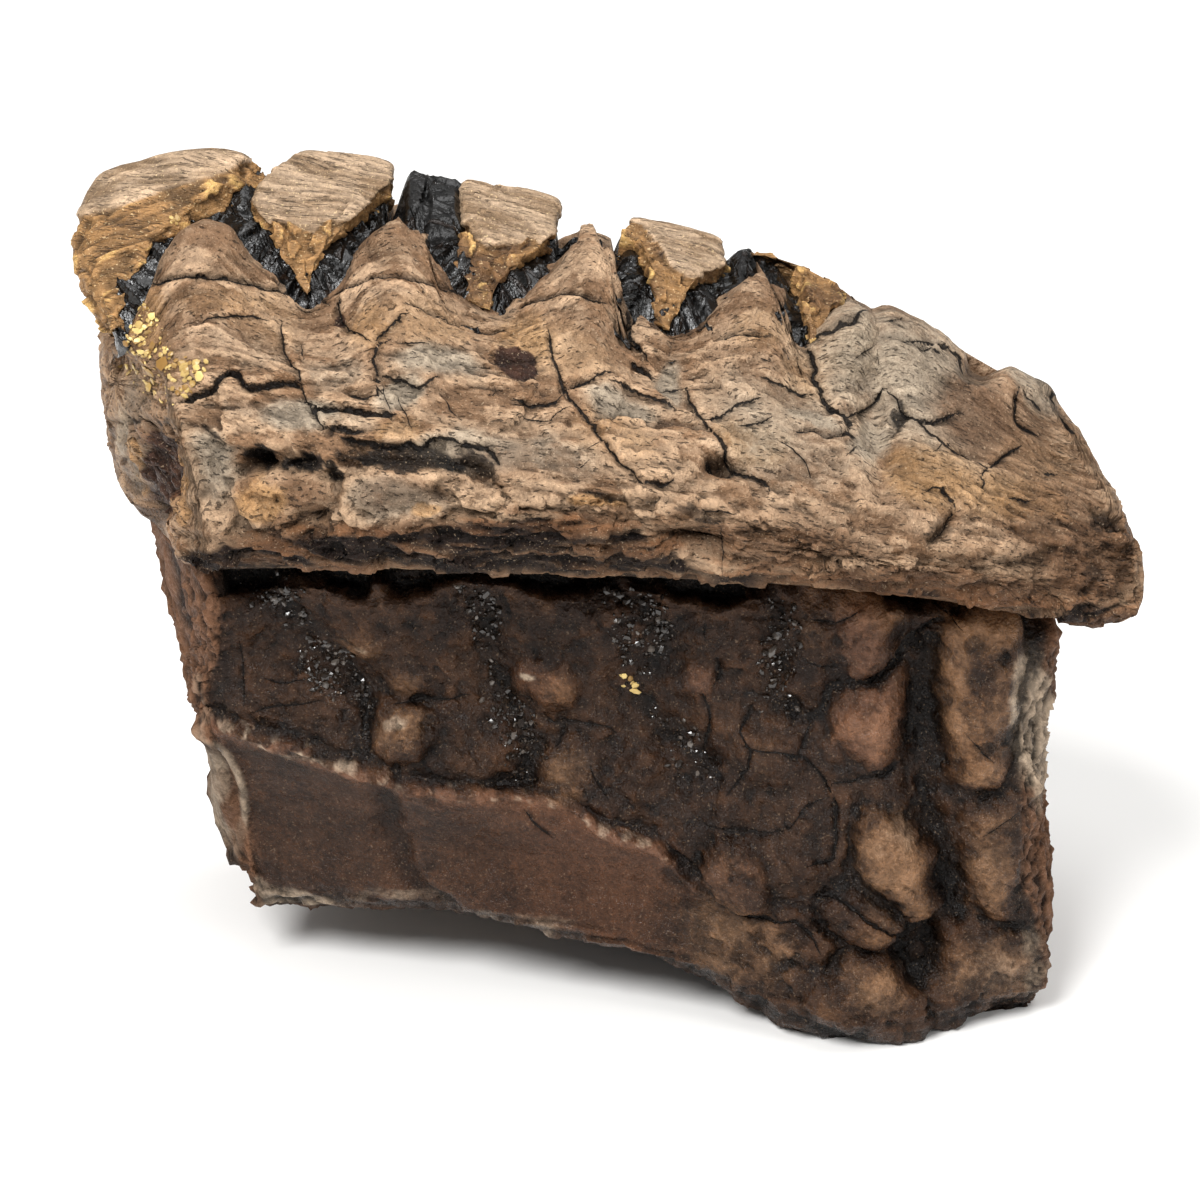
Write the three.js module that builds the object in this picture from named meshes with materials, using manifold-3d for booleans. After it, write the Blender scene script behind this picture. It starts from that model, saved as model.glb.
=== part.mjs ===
// Part of a mammoth molar, fossilised and broken lengthwise. The crown is dentine under folded
// enamel, with wedges of cement in the folds, and below it stands a low mass of roots.
// It all grew as one piece, so it is one solid.
//
// Millimetres. +Z is up, to the chewing face. +X runs along the tooth, to its low end.
// The broken side, where the folds are cut across, faces -Y.

import * as THREE from 'three';
import { mergeVertices } from 'three/addons/utils/BufferGeometryUtils.js';
import Module from 'manifold-3d';

const wasm = await Module();
wasm.setup();

// ------------------------------------------------------------------ driving dimensions

// The crown and the root are each drawn as a ship is, by rails that run the length of the
// tooth. x is where a rail starts and ends, and y (depth) and z (height) are its places at
// five even stations between. The rails go once round the body, and a smooth skin joins them.
const CROWN_RAILS = [
  { rail: 'chewing face, back', x: [-59, 51], y: [5, 6, 6, 4, 0], z: [105, 103.2, 97.2, 89.8, 75.5] },
  { rail: 'chewing face, middle', x: [-60, 52], y: [-2, -1, -1, -2, -5], z: [104, 102.6, 97.4, 90.2, 76.8] },
  { rail: 'chewing face, rim', x: [-59.5, 54], y: [-9, -8, -8, -8, -10], z: [99.5, 99.2, 95.6, 89.2, 74.8] },
  { rail: 'foot of the folds', x: [-57, 57], y: [-14, -15, -15, -14, -13], z: [90, 92, 88.5, 82.5, 69.5] },
  { rail: 'broken slope', x: [-51, 60.5], y: [-20, -25, -26, -26, -18], z: [84, 84, 81, 76, 64] },
  { rail: 'ledge, upper edge', x: [-48.5, 62], y: [-25, -32, -33.5, -33, -20], z: [78, 77.5, 74.5, 69, 59] },
  { rail: 'ledge, nose', x: [-46.5, 61], y: [-26, -33, -34.5, -34, -21], z: [66, 70, 69, 66, 54.5] },
  { rail: 'ledge, underside', x: [-47, 54.5], y: [-21, -28, -28.5, -28, -19], z: [61, 64.5, 63.5, 61.5, 53.5] },
  { rail: 'neck, front', x: [-50, 54], y: [-12, -17, -17, -17, -12], z: [59, 61, 60, 58, 53] },
  { rail: 'neck, back', x: [-59.5, 54], y: [12, 17, 18, 16, 9], z: [56, 57, 56, 54, 51] },
  { rail: 'back, foot of the crown', x: [-61.5, 55], y: [24, 29, 30.5, 27, 17], z: [60, 60, 58, 55, 51] },
  { rail: 'back, high', x: [-62.5, 55], y: [22, 27, 28, 24, 14], z: [80, 80, 75, 67.5, 58] },
  { rail: 'back, shoulder', x: [-61.5, 53], y: [14, 17, 17, 14, 6], z: [96, 95, 88.5, 81, 68.5] },
];
const ROOT_RAILS = [
  { rail: 'core, front', x: [-49, 48], y: [-12, -14, -14, -14, -12], z: [64, 66, 65, 63, 57] },
  { rail: 'recess, top', x: [-46.5, 51], y: [-19, -20.5, -21, -22, -20], z: [57, 59, 58, 57, 52] },
  { rail: 'recess', x: [-47, 49], y: [-17, -18.5, -20, -23, -22], z: [48, 46.5, 45.5, 45, 42] },
  { rail: 'shelf', x: [-49, 49], y: [-16, -21, -23.5, -26.5, -24], z: [40, 33, 27, 20, 23] },
  { rail: 'hollow band', x: [-45.5, 51.5], y: [-11, -17, -22, -27, -23], z: [22, 22, 18, 13, 14] },
  { rail: 'lip', x: [-44, 52], y: [-9.5, -15.5, -22, -29, -21], z: [10, 9.8, 9, 4, 3] },
  { rail: 'sole, front', x: [-42, 50.5], y: [-4, -9, -15, -26, -18], z: [6.5, 5.4, 4.5, -1.2, -1] },
  { rail: 'sole, middle', x: [-41, 48], y: [8, 6, 4, 2, 2], z: [5.5, -0.6, -2.5, -2.5, -1.5] },
  { rail: 'sole, back', x: [-43, 48], y: [18, 21, 21, 18, 14], z: [8, 2, -1.5, -1.5, 0.5] },
  { rail: 'back, foot', x: [-49, 50], y: [23, 27, 27.5, 24, 19], z: [16, 10, 8, 8, 9] },
  { rail: 'back, low', x: [-55, 52.5], y: [26, 30.5, 31.5, 28, 20], z: [34, 30, 28, 26, 26] },
  { rail: 'back, middle', x: [-58, 53], y: [23, 27.5, 29, 25.5, 16], z: [54, 53, 51, 47, 42] },
  { rail: 'core, back', x: [-57.5, 50], y: [16, 20, 21, 18, 10], z: [64, 63, 62, 59, 55] },
];
const STATIONS = [0, 0.25, 0.5, 0.75, 1];

// Each end is a low dome: how far it stands out, and how square it is (2 is a round one).
const CROWN_ENDS = { high: { bulge: 4.5, squareness: 2.6 }, low: { bulge: 4.5, squareness: 2.4 } };
const ROOT_ENDS = { high: { bulge: 3.5, squareness: 2.6 }, low: { bulge: 4, squareness: 2.6 } };

// The chewing face falls away at the high end, by this much, from this x on.
const END_FALL = { from: -47, over: 15, drop: 5, aboveZ: 78, fullZ: 100 };

// The folds, cut across by the broken side and seen along Y. This line is the top of the
// dentine: a peak inside each enamel fold, and a valley under each cement wedge.
const DENTINE_RIDGE = [
  [-57.3, 89.5], [-54.7, 93.3], [-51.8, 96.9], [-47.2, 99.3], [-43.1, 95.9], [-35, 92.4],
  [-31.7, 93.6], [-29.6, 96.5], [-24.5, 100.2], [-21.3, 96.5], [-18.7, 93.4], [-12.3, 90.1],
  [-8.1, 93.4], [-4, 97.4], [-2.6, 99], [0.2, 96.9], [0.9, 90.6], [2.5, 89.2], [6.8, 88.3],
  [9.3, 88.4], [13.9, 91.9], [18.1, 94.4], [20, 92.1], [19.7, 89.2], [23.7, 85.7], [29.1, 89.3],
];
// Each wedge of cement between two folds, open at its top.
const CEMENT_WEDGES = [
  { wedge: 'first', side: [[-42.9, 106], [-47.6, 103.3], [-53.4, 97.9], [-57.1, 93.7], [-58.4, 89]] },
  { wedge: 'second', side: [[-41.4, 104], [-38.9, 97.4], [-35, 93], [-32.1, 97.7], [-25.3, 103]] },
  { wedge: 'third', side: [[-16.9, 103], [-18.2, 95], [-14.1, 91], [-10.7, 95], [-5.8, 100]] },
  { wedge: 'fourth', side: [[1.6, 98.2], [4.6, 93], [6.7, 88.7], [9.5, 92.6], [13.8, 95.4]] },
  { wedge: 'fifth', side: [[20.5, 93.1], [23, 88.3], [23.3, 86.8], [25.8, 88.3], [28.5, 89.3]] },
];
const WEDGE_HEAD = 115;         // the wedges' outlines run up to here, past the chewing face
const HIGH_END = -75;           // an x past the high end of the tooth
const ENAMEL_RECESS = 0.12;     // the brittle enamel lies this share of a section's size below it

// Rounded nodules on the root's broken side: place, half widths and height.
const NODULES = [
  { x: -29.4, z: 49.4, wide: 4, tall: 3.5, rise: 1.5 },
  { x: -25.8, z: 38.7, wide: 4.5, tall: 4, rise: 2 },
  { x: -7.8, z: 44.4, wide: 4.5, tall: 4, rise: 2 },
  { x: 11.3, z: 46.6, wide: 4, tall: 4, rise: 2.4 },
  { x: 30.1, z: 44.8, wide: 5, tall: 8, rise: 3.6 },
  { x: 42.1, z: 42.3, wide: 4.5, tall: 9, rise: 2.6 },
  { x: 32.8, z: 25.9, wide: 5, tall: 6, rise: 3.6 },
  { x: 35.4, z: 16.4, wide: 5, tall: 4, rise: 2.5 },
  { x: 33.6, z: 6, wide: 5.5, tall: 4, rise: 2.5 },
];
// Furrows between them, from the cervix down.
const FURROWS = [
  { from: [-40.4, 57.7], to: [-28.8, 40.5], width: 2.6, depth: 1.6 },
  { from: [-15.5, 58.3], to: [-9.6, 35], width: 2.6, depth: 1.6 },
  { from: [4.9, 57.3], to: [6.8, 39.8], width: 2.8, depth: 1.6 },
  { from: [20, 57], to: [18, 44.6], width: 2.6, depth: 1.6 },
  { from: [36.8, 58], to: [35.5, 33], width: 2.6, depth: 2.4 },
];
const SOLE_CUT = 12;            // the flat spot it rests on is at z 0: what is lower is worn off

// How finely the skins are faceted.
const CROWN_MESH = { along: 44, around: 34, capRings: 4 };
const ROOT_MESH = { along: 38, around: 34, capRings: 3 };

// ------------------------------------------------------------------ curves and skins

const smoothStep = (t) => {
  const s = THREE.MathUtils.clamp(t, 0, 1);
  return s * s * (3 - 2 * s);
};

// A Catmull-Rom curve through (knots[i], values[i]). On a closed one the last value repeats
// the first, and past an open one's ends it keeps the slope of its last stretch.
function throughPoints(knots, values, t, closed) {
  const last = knots.length - 1;
  const at = (i) => {
    if (i < 0) {
      return closed
        ? { k: knots[last + i] - knots[last], v: values[last + i] }
        : { k: 2 * knots[0] - knots[1], v: 2 * values[0] - values[1] };
    }
    if (i > last) {
      return closed
        ? { k: knots[i - last] + knots[last], v: values[i - last] }
        : { k: 2 * knots[last] - knots[last - 1], v: 2 * values[last] - values[last - 1] };
    }
    return { k: knots[i], v: values[i] };
  };
  const slope = (i) => (at(i + 1).v - at(i - 1).v) / (at(i + 1).k - at(i - 1).k);
  let i = 0;
  while (i < last - 1 && t >= knots[i + 1]) i += 1;
  const h = knots[i + 1] - knots[i];
  const s = (t - knots[i]) / h;
  const s2 = s * s;
  const s3 = s2 * s;
  return (2 * s3 - 3 * s2 + 1) * values[i] + (s3 - 2 * s2 + s) * h * slope(i)
    + (3 * s2 - 2 * s3) * values[i + 1] + (s3 - s2) * h * slope(i + 1);
}

// Where every rail is at u, from 0 at the high end to 1 at the low end.
function railPoints(rails, u) {
  return rails.map(({ x, y, z }) => new THREE.Vector3(
    THREE.MathUtils.lerp(x[0], x[1], u),
    throughPoints(STATIONS, y, u, false),
    throughPoints(STATIONS, z, u, false),
  ));
}

// The mean distance round the body to each rail, over a few sections, and back to the first.
function knotsRound(rails) {
  const samples = 8;
  const steps = new Array(rails.length).fill(0);
  for (let n = 0; n <= samples; n += 1) {
    const ring = railPoints(rails, n / samples);
    ring.forEach((p, j) => {
      steps[j] += p.distanceTo(ring[(j + 1) % ring.length]) / (samples + 1);
    });
  }
  const knots = [0];
  steps.forEach((step) => knots.push(knots.at(-1) + step));
  return knots;
}

// One closed section of the skin at u, with points at even distances round it.
function section(rails, knots, u, around) {
  const ring = railPoints(rails, u);
  ring.push(ring[0]);
  const axes = ['x', 'y', 'z'].map((axis) => ring.map((p) => p[axis]));
  return Array.from({ length: around }, (_, j) => {
    const t = (knots.at(-1) * j) / around;
    return new THREE.Vector3(...axes.map((values) => throughPoints(knots, values, t, true)));
  });
}

const middleOf = (ring) => ring.reduce((sum, p) => sum.add(p), new THREE.Vector3())
  .divideScalar(ring.length);

// The rings of a domed end, from its edge to its pole: each is the edge drawn in to its
// middle, and stands out by a superellipse. side is -1 at the high end and 1 at the low end.
function domeRings(edge, side, { bulge, squareness }, count) {
  const middle = middleOf(edge);
  return Array.from({ length: count }, (_, n) => {
    const size = Math.cos(((n + 1) / count) * (Math.PI / 2));
    const out = bulge * (1 - size ** squareness) ** (1 / squareness);
    return edge.map((p) => {
      const q = p.clone().sub(middle).multiplyScalar(size).add(middle);
      q.x += side * out;
      return q;
    });
  });
}

// All the rings of a body, from pole to pole.
function bodyRings(rails, ends, { along, around, capRings }) {
  const knots = knotsRound(rails);
  const rings = Array.from({ length: along + 1 }, (_, n) => section(rails, knots, n / along, around));
  const high = domeRings(rings[0], -1, ends.high, capRings).reverse();
  const low = domeRings(rings.at(-1), 1, ends.low, capRings);
  return [...high, ...rings, ...low];
}

// A closed mesh from rings. The first and last ring are poles, drawn in to one point.
function skin(rings) {
  const around = rings[0].length;
  const positions = rings.flatMap((ring) => ring.flatMap((p) => p.toArray()));
  const faces = [];
  for (let i = 0; i < rings.length - 1; i += 1) {
    for (let j = 0; j < around; j += 1) {
      const a = i * around + j;
      const b = i * around + ((j + 1) % around);
      const c = a + around;
      const d = b + around;
      if (i > 0) faces.push(a, b, c);
      if (i < rings.length - 2) faces.push(b, d, c);
    }
  }
  const geometry = new THREE.BufferGeometry();
  geometry.setAttribute('position', new THREE.Float32BufferAttribute(positions, 3));
  geometry.setIndex(faces);
  return geometry;
}

// ------------------------------------------------------------------ solids

// A closed geometry as a solid that can be joined and cut.
function solidOf(geometry) {
  const bare = geometry.clone();
  bare.deleteAttribute('normal');
  bare.deleteAttribute('uv');
  const merged = mergeVertices(bare, 1e-4);
  const index = merged.index.array;
  const triVerts = new Uint32Array(index.length);
  let used = 0;
  for (let i = 0; i < index.length; i += 3) {
    const [a, b, c] = [index[i], index[i + 1], index[i + 2]];
    if (a !== b && b !== c && c !== a) {
      triVerts.set([a, b, c], used);
      used += 3;
    }
  }
  const vertProperties = Float32Array.from(merged.attributes.position.array);
  return new wasm.Manifold(new wasm.Mesh({
    numProp: 3, vertProperties, triVerts: triVerts.slice(0, used),
  }));
}

function geometryOf(solid) {
  const { vertProperties, triVerts, numProp } = solid.getMesh();
  const positions = [];
  for (let i = 0; i < vertProperties.length; i += numProp) {
    positions.push(vertProperties[i], vertProperties[i + 1], vertProperties[i + 2]);
  }
  const geometry = new THREE.BufferGeometry();
  geometry.setAttribute('position', new THREE.Float32BufferAttribute(positions, 3));
  geometry.setIndex(Array.from(triVerts));
  geometry.computeVertexNormals();
  return geometry;
}

// A prism along Y, past both sides of the tooth, on an outline of [x, z] points.
function prism(outline) {
  const length = 120;
  const shape = new THREE.Shape(outline.map(([x, z]) => new THREE.Vector2(x, z)));
  const geometry = new THREE.ExtrudeGeometry(shape, { depth: length, bevelEnabled: false });
  geometry.rotateX(Math.PI / 2);
  geometry.translate(0, length / 2, 0);
  return solidOf(geometry);
}

// ------------------------------------------------------------------ the tooth

// The crown's rings, with the fall of its chewing face at the high end.
function crownRings() {
  const rings = bodyRings(CROWN_RAILS, CROWN_ENDS, CROWN_MESH);
  rings.flat().forEach((p) => {
    const t = THREE.MathUtils.clamp((END_FALL.from - p.x) / END_FALL.over, 0, 1.2);
    const height = (p.z - END_FALL.aboveZ) / (END_FALL.fullZ - END_FALL.aboveZ);
    p.z -= END_FALL.drop * t * t * THREE.MathUtils.clamp(height, 0, 1);
  });
  return rings;
}

// How far a furrow cuts in at (x, z): a round-bottomed trough along its line.
function furrowDepth({ from, to, width, depth }, x, z) {
  const line = new THREE.Line3(new THREE.Vector3(from[0], 0, from[1]), new THREE.Vector3(to[0], 0, to[1]));
  const point = new THREE.Vector3(x, 0, z);
  const away = line.closestPointToPoint(point, true, new THREE.Vector3()).distanceTo(point);
  return depth * Math.exp(-((away / width) ** 2));
}

// The root's rings, with the nodules and furrows of its broken side.
function rootRings() {
  const rings = bodyRings(ROOT_RAILS, ROOT_ENDS, ROOT_MESH);
  rings.flat().forEach((p) => {
    const facing = smoothStep((-6 - p.y) / 8) * smoothStep((p.z + 2) / 4);
    let out = 0;
    NODULES.forEach(({ x, z, wide, tall, rise }) => {
      out += rise * Math.exp(-(((p.x - x) / wide) ** 2) - (((p.z - z) / tall) ** 2));
    });
    FURROWS.forEach((furrow) => {
      out -= furrowDepth(furrow, p.x, p.z);
    });
    p.y -= facing * out;
  });
  return rings;
}

// The same rings drawn in towards their own middles: the level down to which enamel is lost.
function drawnIn(rings, share) {
  return rings.map((ring) => {
    const middle = middleOf(ring);
    return ring.map((p) => p.clone().lerp(middle, share));
  });
}

// The grooves where the enamel lies back: all that is above the dentine, less the wedges of
// cement, and only as deep as the recess.
function enamelGrooves(rings) {
  const [first, last] = [DENTINE_RIDGE[0], DENTINE_RIDGE.at(-1)];
  let grooves = prism([
    [HIGH_END, first[1]], ...DENTINE_RIDGE, [last[0], WEDGE_HEAD], [HIGH_END, WEDGE_HEAD],
  ]);
  CEMENT_WEDGES.forEach(({ wedge, side }) => {
    const [start, end] = [side[0], side.at(-1)];
    const head = wedge === 'first'
      ? [[HIGH_END - 5, end[1]], [HIGH_END - 5, WEDGE_HEAD + 5], [start[0], WEDGE_HEAD + 5]]
      : [[end[0] + 1, WEDGE_HEAD + 5], [start[0], WEDGE_HEAD + 5]];
    grooves = grooves.subtract(prism([...side, ...head]));
  });
  return grooves.subtract(solidOf(skin(drawnIn(rings, ENAMEL_RECESS))));
}

function toothGeometry() {
  const crown = crownRings();
  const below = prism([[-90, -SOLE_CUT], [90, -SOLE_CUT], [90, 0], [-90, 0]]);
  const tooth = solidOf(skin(crown))
    .add(solidOf(skin(rootRings())))
    .subtract(enamelGrooves(crown))
    .subtract(below);
  const geometry = geometryOf(tooth);
  geometry.computeBoundingBox();
  const middle = geometry.boundingBox.getCenter(new THREE.Vector3());
  geometry.translate(-middle.x, -middle.y, 0);
  return geometry;
}

const molar = new THREE.Mesh(
  toothGeometry(),
  new THREE.MeshStandardMaterial({ color: 0x6e5643, roughness: 0.72, metalness: 0 }),
);
molar.name = 'molar';

const group = new THREE.Group();
group.add(molar);

export default group;
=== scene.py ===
# %% [markdown]
# # A fossil molar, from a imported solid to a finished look
#
# The tooth grew as one piece and then turned to stone. It is a crown of dentine under folded
# black enamel, with wedges of tan cement in the folds, over a dark mass of roots. The packed
# solid has its true size, and everything here is a surface worked out with numpy around it.
# Lengths are in millimetres until a mesh is made, and Blender's own unit is the metre.

import bpy
import numpy as np
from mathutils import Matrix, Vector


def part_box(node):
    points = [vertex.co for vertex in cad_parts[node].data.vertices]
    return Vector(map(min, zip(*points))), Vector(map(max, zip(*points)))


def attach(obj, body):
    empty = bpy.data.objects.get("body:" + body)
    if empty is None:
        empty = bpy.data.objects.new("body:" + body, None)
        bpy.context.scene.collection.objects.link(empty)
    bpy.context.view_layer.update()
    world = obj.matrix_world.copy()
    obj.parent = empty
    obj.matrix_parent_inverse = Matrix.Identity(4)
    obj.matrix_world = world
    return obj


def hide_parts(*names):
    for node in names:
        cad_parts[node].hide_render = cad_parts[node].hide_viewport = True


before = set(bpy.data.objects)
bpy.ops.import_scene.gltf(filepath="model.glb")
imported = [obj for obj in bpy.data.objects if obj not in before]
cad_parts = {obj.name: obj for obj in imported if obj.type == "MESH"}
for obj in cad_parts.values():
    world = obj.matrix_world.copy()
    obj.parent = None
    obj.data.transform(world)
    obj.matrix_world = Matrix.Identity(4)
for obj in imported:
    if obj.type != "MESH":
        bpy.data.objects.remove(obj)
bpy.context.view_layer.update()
MM = 0.001
NODE = "molar"
cad_low, cad_high = (np.array(corner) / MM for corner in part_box(NODE))
print("packed solid, mm:", np.round(cad_high - cad_low, 1))

# %% [markdown]
# ## The skins of crown and root
#
# A tooth has no straight edge to measure from. It could be sculpted by hand, or built from
# boxes and smoothed. Here it is drawn as a ship is: rails run the length of the tooth, and a
# smooth closed curve goes round through them at any section. The rails are those of the solid.

# %% The rails
# name: where it starts and ends in x, its depth y and its height z at five even stations
CROWN_RAILS = {
    "chewing face, back": ((-59, 51), (5, 6, 6, 4, 0), (105, 103.2, 97.2, 89.8, 75.5)),
    "chewing face, middle": ((-60, 52), (-2, -1, -1, -2, -5), (104, 102.6, 97.4, 90.2, 76.8)),
    "chewing face, rim": ((-59.5, 54), (-9, -8, -8, -8, -10), (99.5, 99.2, 95.6, 89.2, 74.8)),
    "foot of the folds": ((-57, 57), (-14, -15, -15, -14, -13), (90, 92, 88.5, 82.5, 69.5)),
    "broken slope": ((-51, 60.5), (-20, -25, -26, -26, -18), (84, 84, 81, 76, 64)),
    "ledge, upper edge": ((-48.5, 62), (-25, -32, -33.5, -33, -20), (78, 77.5, 74.5, 69, 59)),
    "ledge, nose": ((-46.5, 61), (-26, -33, -34.5, -34, -21), (66, 70, 69, 66, 54.5)),
    "ledge, underside": ((-47, 54.5), (-21, -28, -28.5, -28, -19), (61, 64.5, 63.5, 61.5, 53.5)),
    "neck, front": ((-50, 54), (-12, -17, -17, -17, -12), (59, 61, 60, 58, 53)),
    "neck, back": ((-59.5, 54), (12, 17, 18, 16, 9), (56, 57, 56, 54, 51)),
    "back, foot of the crown": ((-61.5, 55), (24, 29, 30.5, 27, 17), (60, 60, 58, 55, 51)),
    "back, high": ((-62.5, 55), (22, 27, 28, 24, 14), (80, 80, 75, 67.5, 58)),
    "back, shoulder": ((-61.5, 53), (14, 17, 17, 14, 6), (96, 95, 88.5, 81, 68.5)),
}
ROOT_RAILS = {
    "core, front": ((-49, 48), (-12, -14, -14, -14, -12), (64, 66, 65, 63, 57)),
    "recess, top": ((-46.5, 51), (-19, -20.5, -21, -22, -20), (57, 59, 58, 57, 52)),
    "recess": ((-47, 49), (-17, -18.5, -20, -23, -22), (48, 46.5, 45.5, 45, 42)),
    "shelf": ((-49, 49), (-16, -21, -23.5, -26.5, -24), (40, 33, 27, 20, 23)),
    "hollow band": ((-45.5, 51.5), (-11, -17, -22, -27, -23), (22, 22, 18, 13, 14)),
    "lip": ((-44, 52), (-9.5, -15.5, -22, -29, -21), (10.5, 12, 9.8, 4.6, 3)),
    "sole, front": ((-42, 50.5), (-4, -9, -15, -26, -18), (7.2, 9.2, 6, -0.4, -1)),
    "sole, middle": ((-41, 48), (8, 6, 4, 2, 2), (7.0, 4.5, -1.5, -2.5, -1.5)),
    "sole, back": ((-43, 48), (18, 21, 21, 18, 14), (9, 5.5, -0.5, -1.5, 0.5)),
    "back, foot": ((-49, 50), (23, 27, 27.5, 24, 19), (16, 10, 8, 8, 9)),
    "back, low": ((-55, 52.5), (26, 30.5, 31.5, 28, 20), (34, 30, 28, 26, 26)),
    "back, middle": ((-58, 53), (23, 27.5, 29, 25.5, 16), (54, 53, 51, 47, 42)),
    "core, back": ((-57.5, 50), (16, 20, 21, 18, 10), (64, 63, 62, 59, 55)),
}
STATIONS = np.linspace(0, 1, 5)
CROWN_ENDS = ((4.5, 2.6), (4.5, 2.4))  # how far each end stands out, and how square it is
ROOT_ENDS = ((3.5, 2.6), (4.0, 2.6))

# %% A smooth curve through the rails
def spline(knots, values, t):
    """Catmull-Rom: the cubic that passes through each value with the slope of its two
    neighbours. knots and values hold one entry more past each end; values is one row, or
    has a row for each t."""
    i = np.clip(np.searchsorted(knots, t, side="right") - 1, 1, len(knots) - 3)

    def take(j):
        return values[j] if values.ndim == 1 else np.take_along_axis(values, j[:, None], 1)[:, 0]

    h = knots[i + 1] - knots[i]
    s = (t - knots[i]) / h
    slope_0 = (take(i + 1) - take(i - 1)) / (knots[i + 1] - knots[i - 1])
    slope_1 = (take(i + 2) - take(i)) / (knots[i + 2] - knots[i])
    return (
        (2 * s**3 - 3 * s**2 + 1) * take(i)
        + (s**3 - 2 * s**2 + s) * h * slope_0
        + (3 * s**2 - 2 * s**3) * take(i + 1)
        + (s**3 - s**2) * h * slope_1
    )


def with_ends(row):
    """The row with one value more past each end, in line with its last stretch."""
    row = np.asarray(row, float)
    return np.concatenate([[2 * row[0] - row[1]], row, [2 * row[-1] - row[-2]]])


def rail_points(rails, u):
    """Every rail at each u: x runs straight from start to end, y and z by spline."""
    stations = with_ends(STATIONS)
    ends, depths, heights = zip(*rails.values())
    x = np.stack([a + (b - a) * u for a, b in ends], -1)
    y = np.stack([spline(stations, with_ends(row), u) for row in depths], -1)
    z = np.stack([spline(stations, with_ends(row), u) for row in heights], -1)
    return np.stack([x, y, z], -1)

# %% A body is its rails, its two domed ends and the distances round it
END_FALL_FROM, END_FALL_OVER, END_FALL = -47, 15, 5  # the chewing face dips at the high end
FALL_FROM_Z, FALL_FULL_Z = 78, 100


class Body:
    """A closed skin over rails. p runs along it: 0 to 1 from end to end, and one more each
    way over the domes to their poles. v runs round it, in millimetres."""

    def __init__(self, rails, ends, falls):
        self.rails, self.ends, self.falls = rails, ends, falls
        sections = rail_points(rails, np.linspace(0, 1, 9))
        steps = np.linalg.norm(np.roll(sections, -1, 1) - sections, axis=2).mean(0)
        self.knots = np.concatenate([[0], np.cumsum(steps)])
        self.round = self.knots[-1]
        self.padded = np.concatenate(
            [[self.knots[-2] - self.round], self.knots, [self.knots[1] + self.round]])
        v = np.linspace(0, self.round, 200, endpoint=False)
        self.middles = [self.loft(np.full(200, u), v).mean(0) for u in (0.0, 1.0)]

    def rail(self, name):
        """How far round the body a rail lies."""
        return self.knots[list(self.rails).index(name)]

    def loft(self, u, v):
        ring = rail_points(self.rails, u)
        ring = np.concatenate([ring[:, -1:], ring, ring[:, :2]], 1)
        v = np.mod(v, self.round)
        return np.stack([spline(self.padded, ring[..., axis], v) for axis in range(3)], -1)

    def at(self, p, v):
        """A dome is the end section drawn in to its middle by cos, and pushed out by a
        superellipse: out = bulge * (1 - size^n)^(1/n)."""
        p, v = np.broadcast_arrays(p, v)
        shape = p.shape
        p, v = p.ravel(), v.ravel()
        points = self.loft(np.clip(p, 0, 1), v)
        for side, middle, (bulge, square) in zip((-1, 1), self.middles, self.ends):
            over = np.clip(-p if side < 0 else p - 1, 0, 1)
            size = np.cos(over * np.pi / 2)
            out = bulge * (1 - size**square) ** (1 / square)
            points = np.where(over[:, None] > 0, middle + (points - middle) * size[:, None], points)
            points[:, 0] += side * out
        if self.falls:
            t = np.clip((END_FALL_FROM - points[:, 0]) / END_FALL_OVER, 0, 1.2)
            high = np.clip((points[:, 2] - FALL_FROM_Z) / (FALL_FULL_Z - FALL_FROM_Z), 0, 1)
            points[:, 2] -= END_FALL * t**2 * high
        return points.reshape(shape + (3,))


crown = Body(CROWN_RAILS, CROWN_ENDS, falls=True)
root = Body(ROOT_RAILS, ROOT_ENDS, falls=False)

probe_p, probe_v = np.linspace(-1, 2, 90)[:, None], np.linspace(0, 1, 120)[None]
probe = np.concatenate([body.at(probe_p, probe_v * body.round).reshape(-1, 3) for body in (crown, root)])
SHIFT = (cad_low + cad_high) / 2 - (probe.min(0) + probe.max(0)) / 2
SHIFT[2] = 0.0
print("rails to frame, mm:", np.round(SHIFT, 2))

# %% [markdown]
# ## Camera, light and floor
#
# The tooth stands on a plain pale floor under soft light. The camera looks down on the broken
# side by 25 degrees, from a distance of three and a half lengths of the tooth.

# %% Camera
LOOK_AT = np.array([-1.1, 0.0, 47.2])  # rails' own millimetres, like every place below
LOOK_DOWN = np.radians(25)
DISTANCE = 450.0
VIEW_WIDTH = 150.0  # what the picture's width spans at LOOK_AT
SENSOR = 36.0

ahead = np.array([0, np.cos(LOOK_DOWN), -np.sin(LOOK_DOWN)])
upward = np.array([0, np.sin(LOOK_DOWN), np.cos(LOOK_DOWN)])
eye = LOOK_AT - ahead * DISTANCE

camera_data = bpy.data.cameras.new("camera")
camera_data.sensor_width = SENSOR
camera_data.lens = SENSOR * DISTANCE / VIEW_WIDTH
camera_data.clip_start = 0.01
camera = bpy.data.objects.new("camera", camera_data)
camera.location = (eye + SHIFT) * MM
camera.rotation_euler = (np.pi / 2 - LOOK_DOWN, 0, 0)
bpy.context.scene.collection.objects.link(camera)
bpy.context.scene.camera = camera
print("lens, mm:", camera_data.lens)

# %% Places on the broken side, as they are seen
def seen(points):
    """Where points show, in mm right and up of LOOK_AT: each is drawn along its line of
    sight onto the upright plane through LOOK_AT that faces the camera."""
    away = points - eye
    depth = away @ ahead
    return np.stack([away[..., 0], away @ upward], -1) * (DISTANCE / depth)[..., None]

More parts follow.
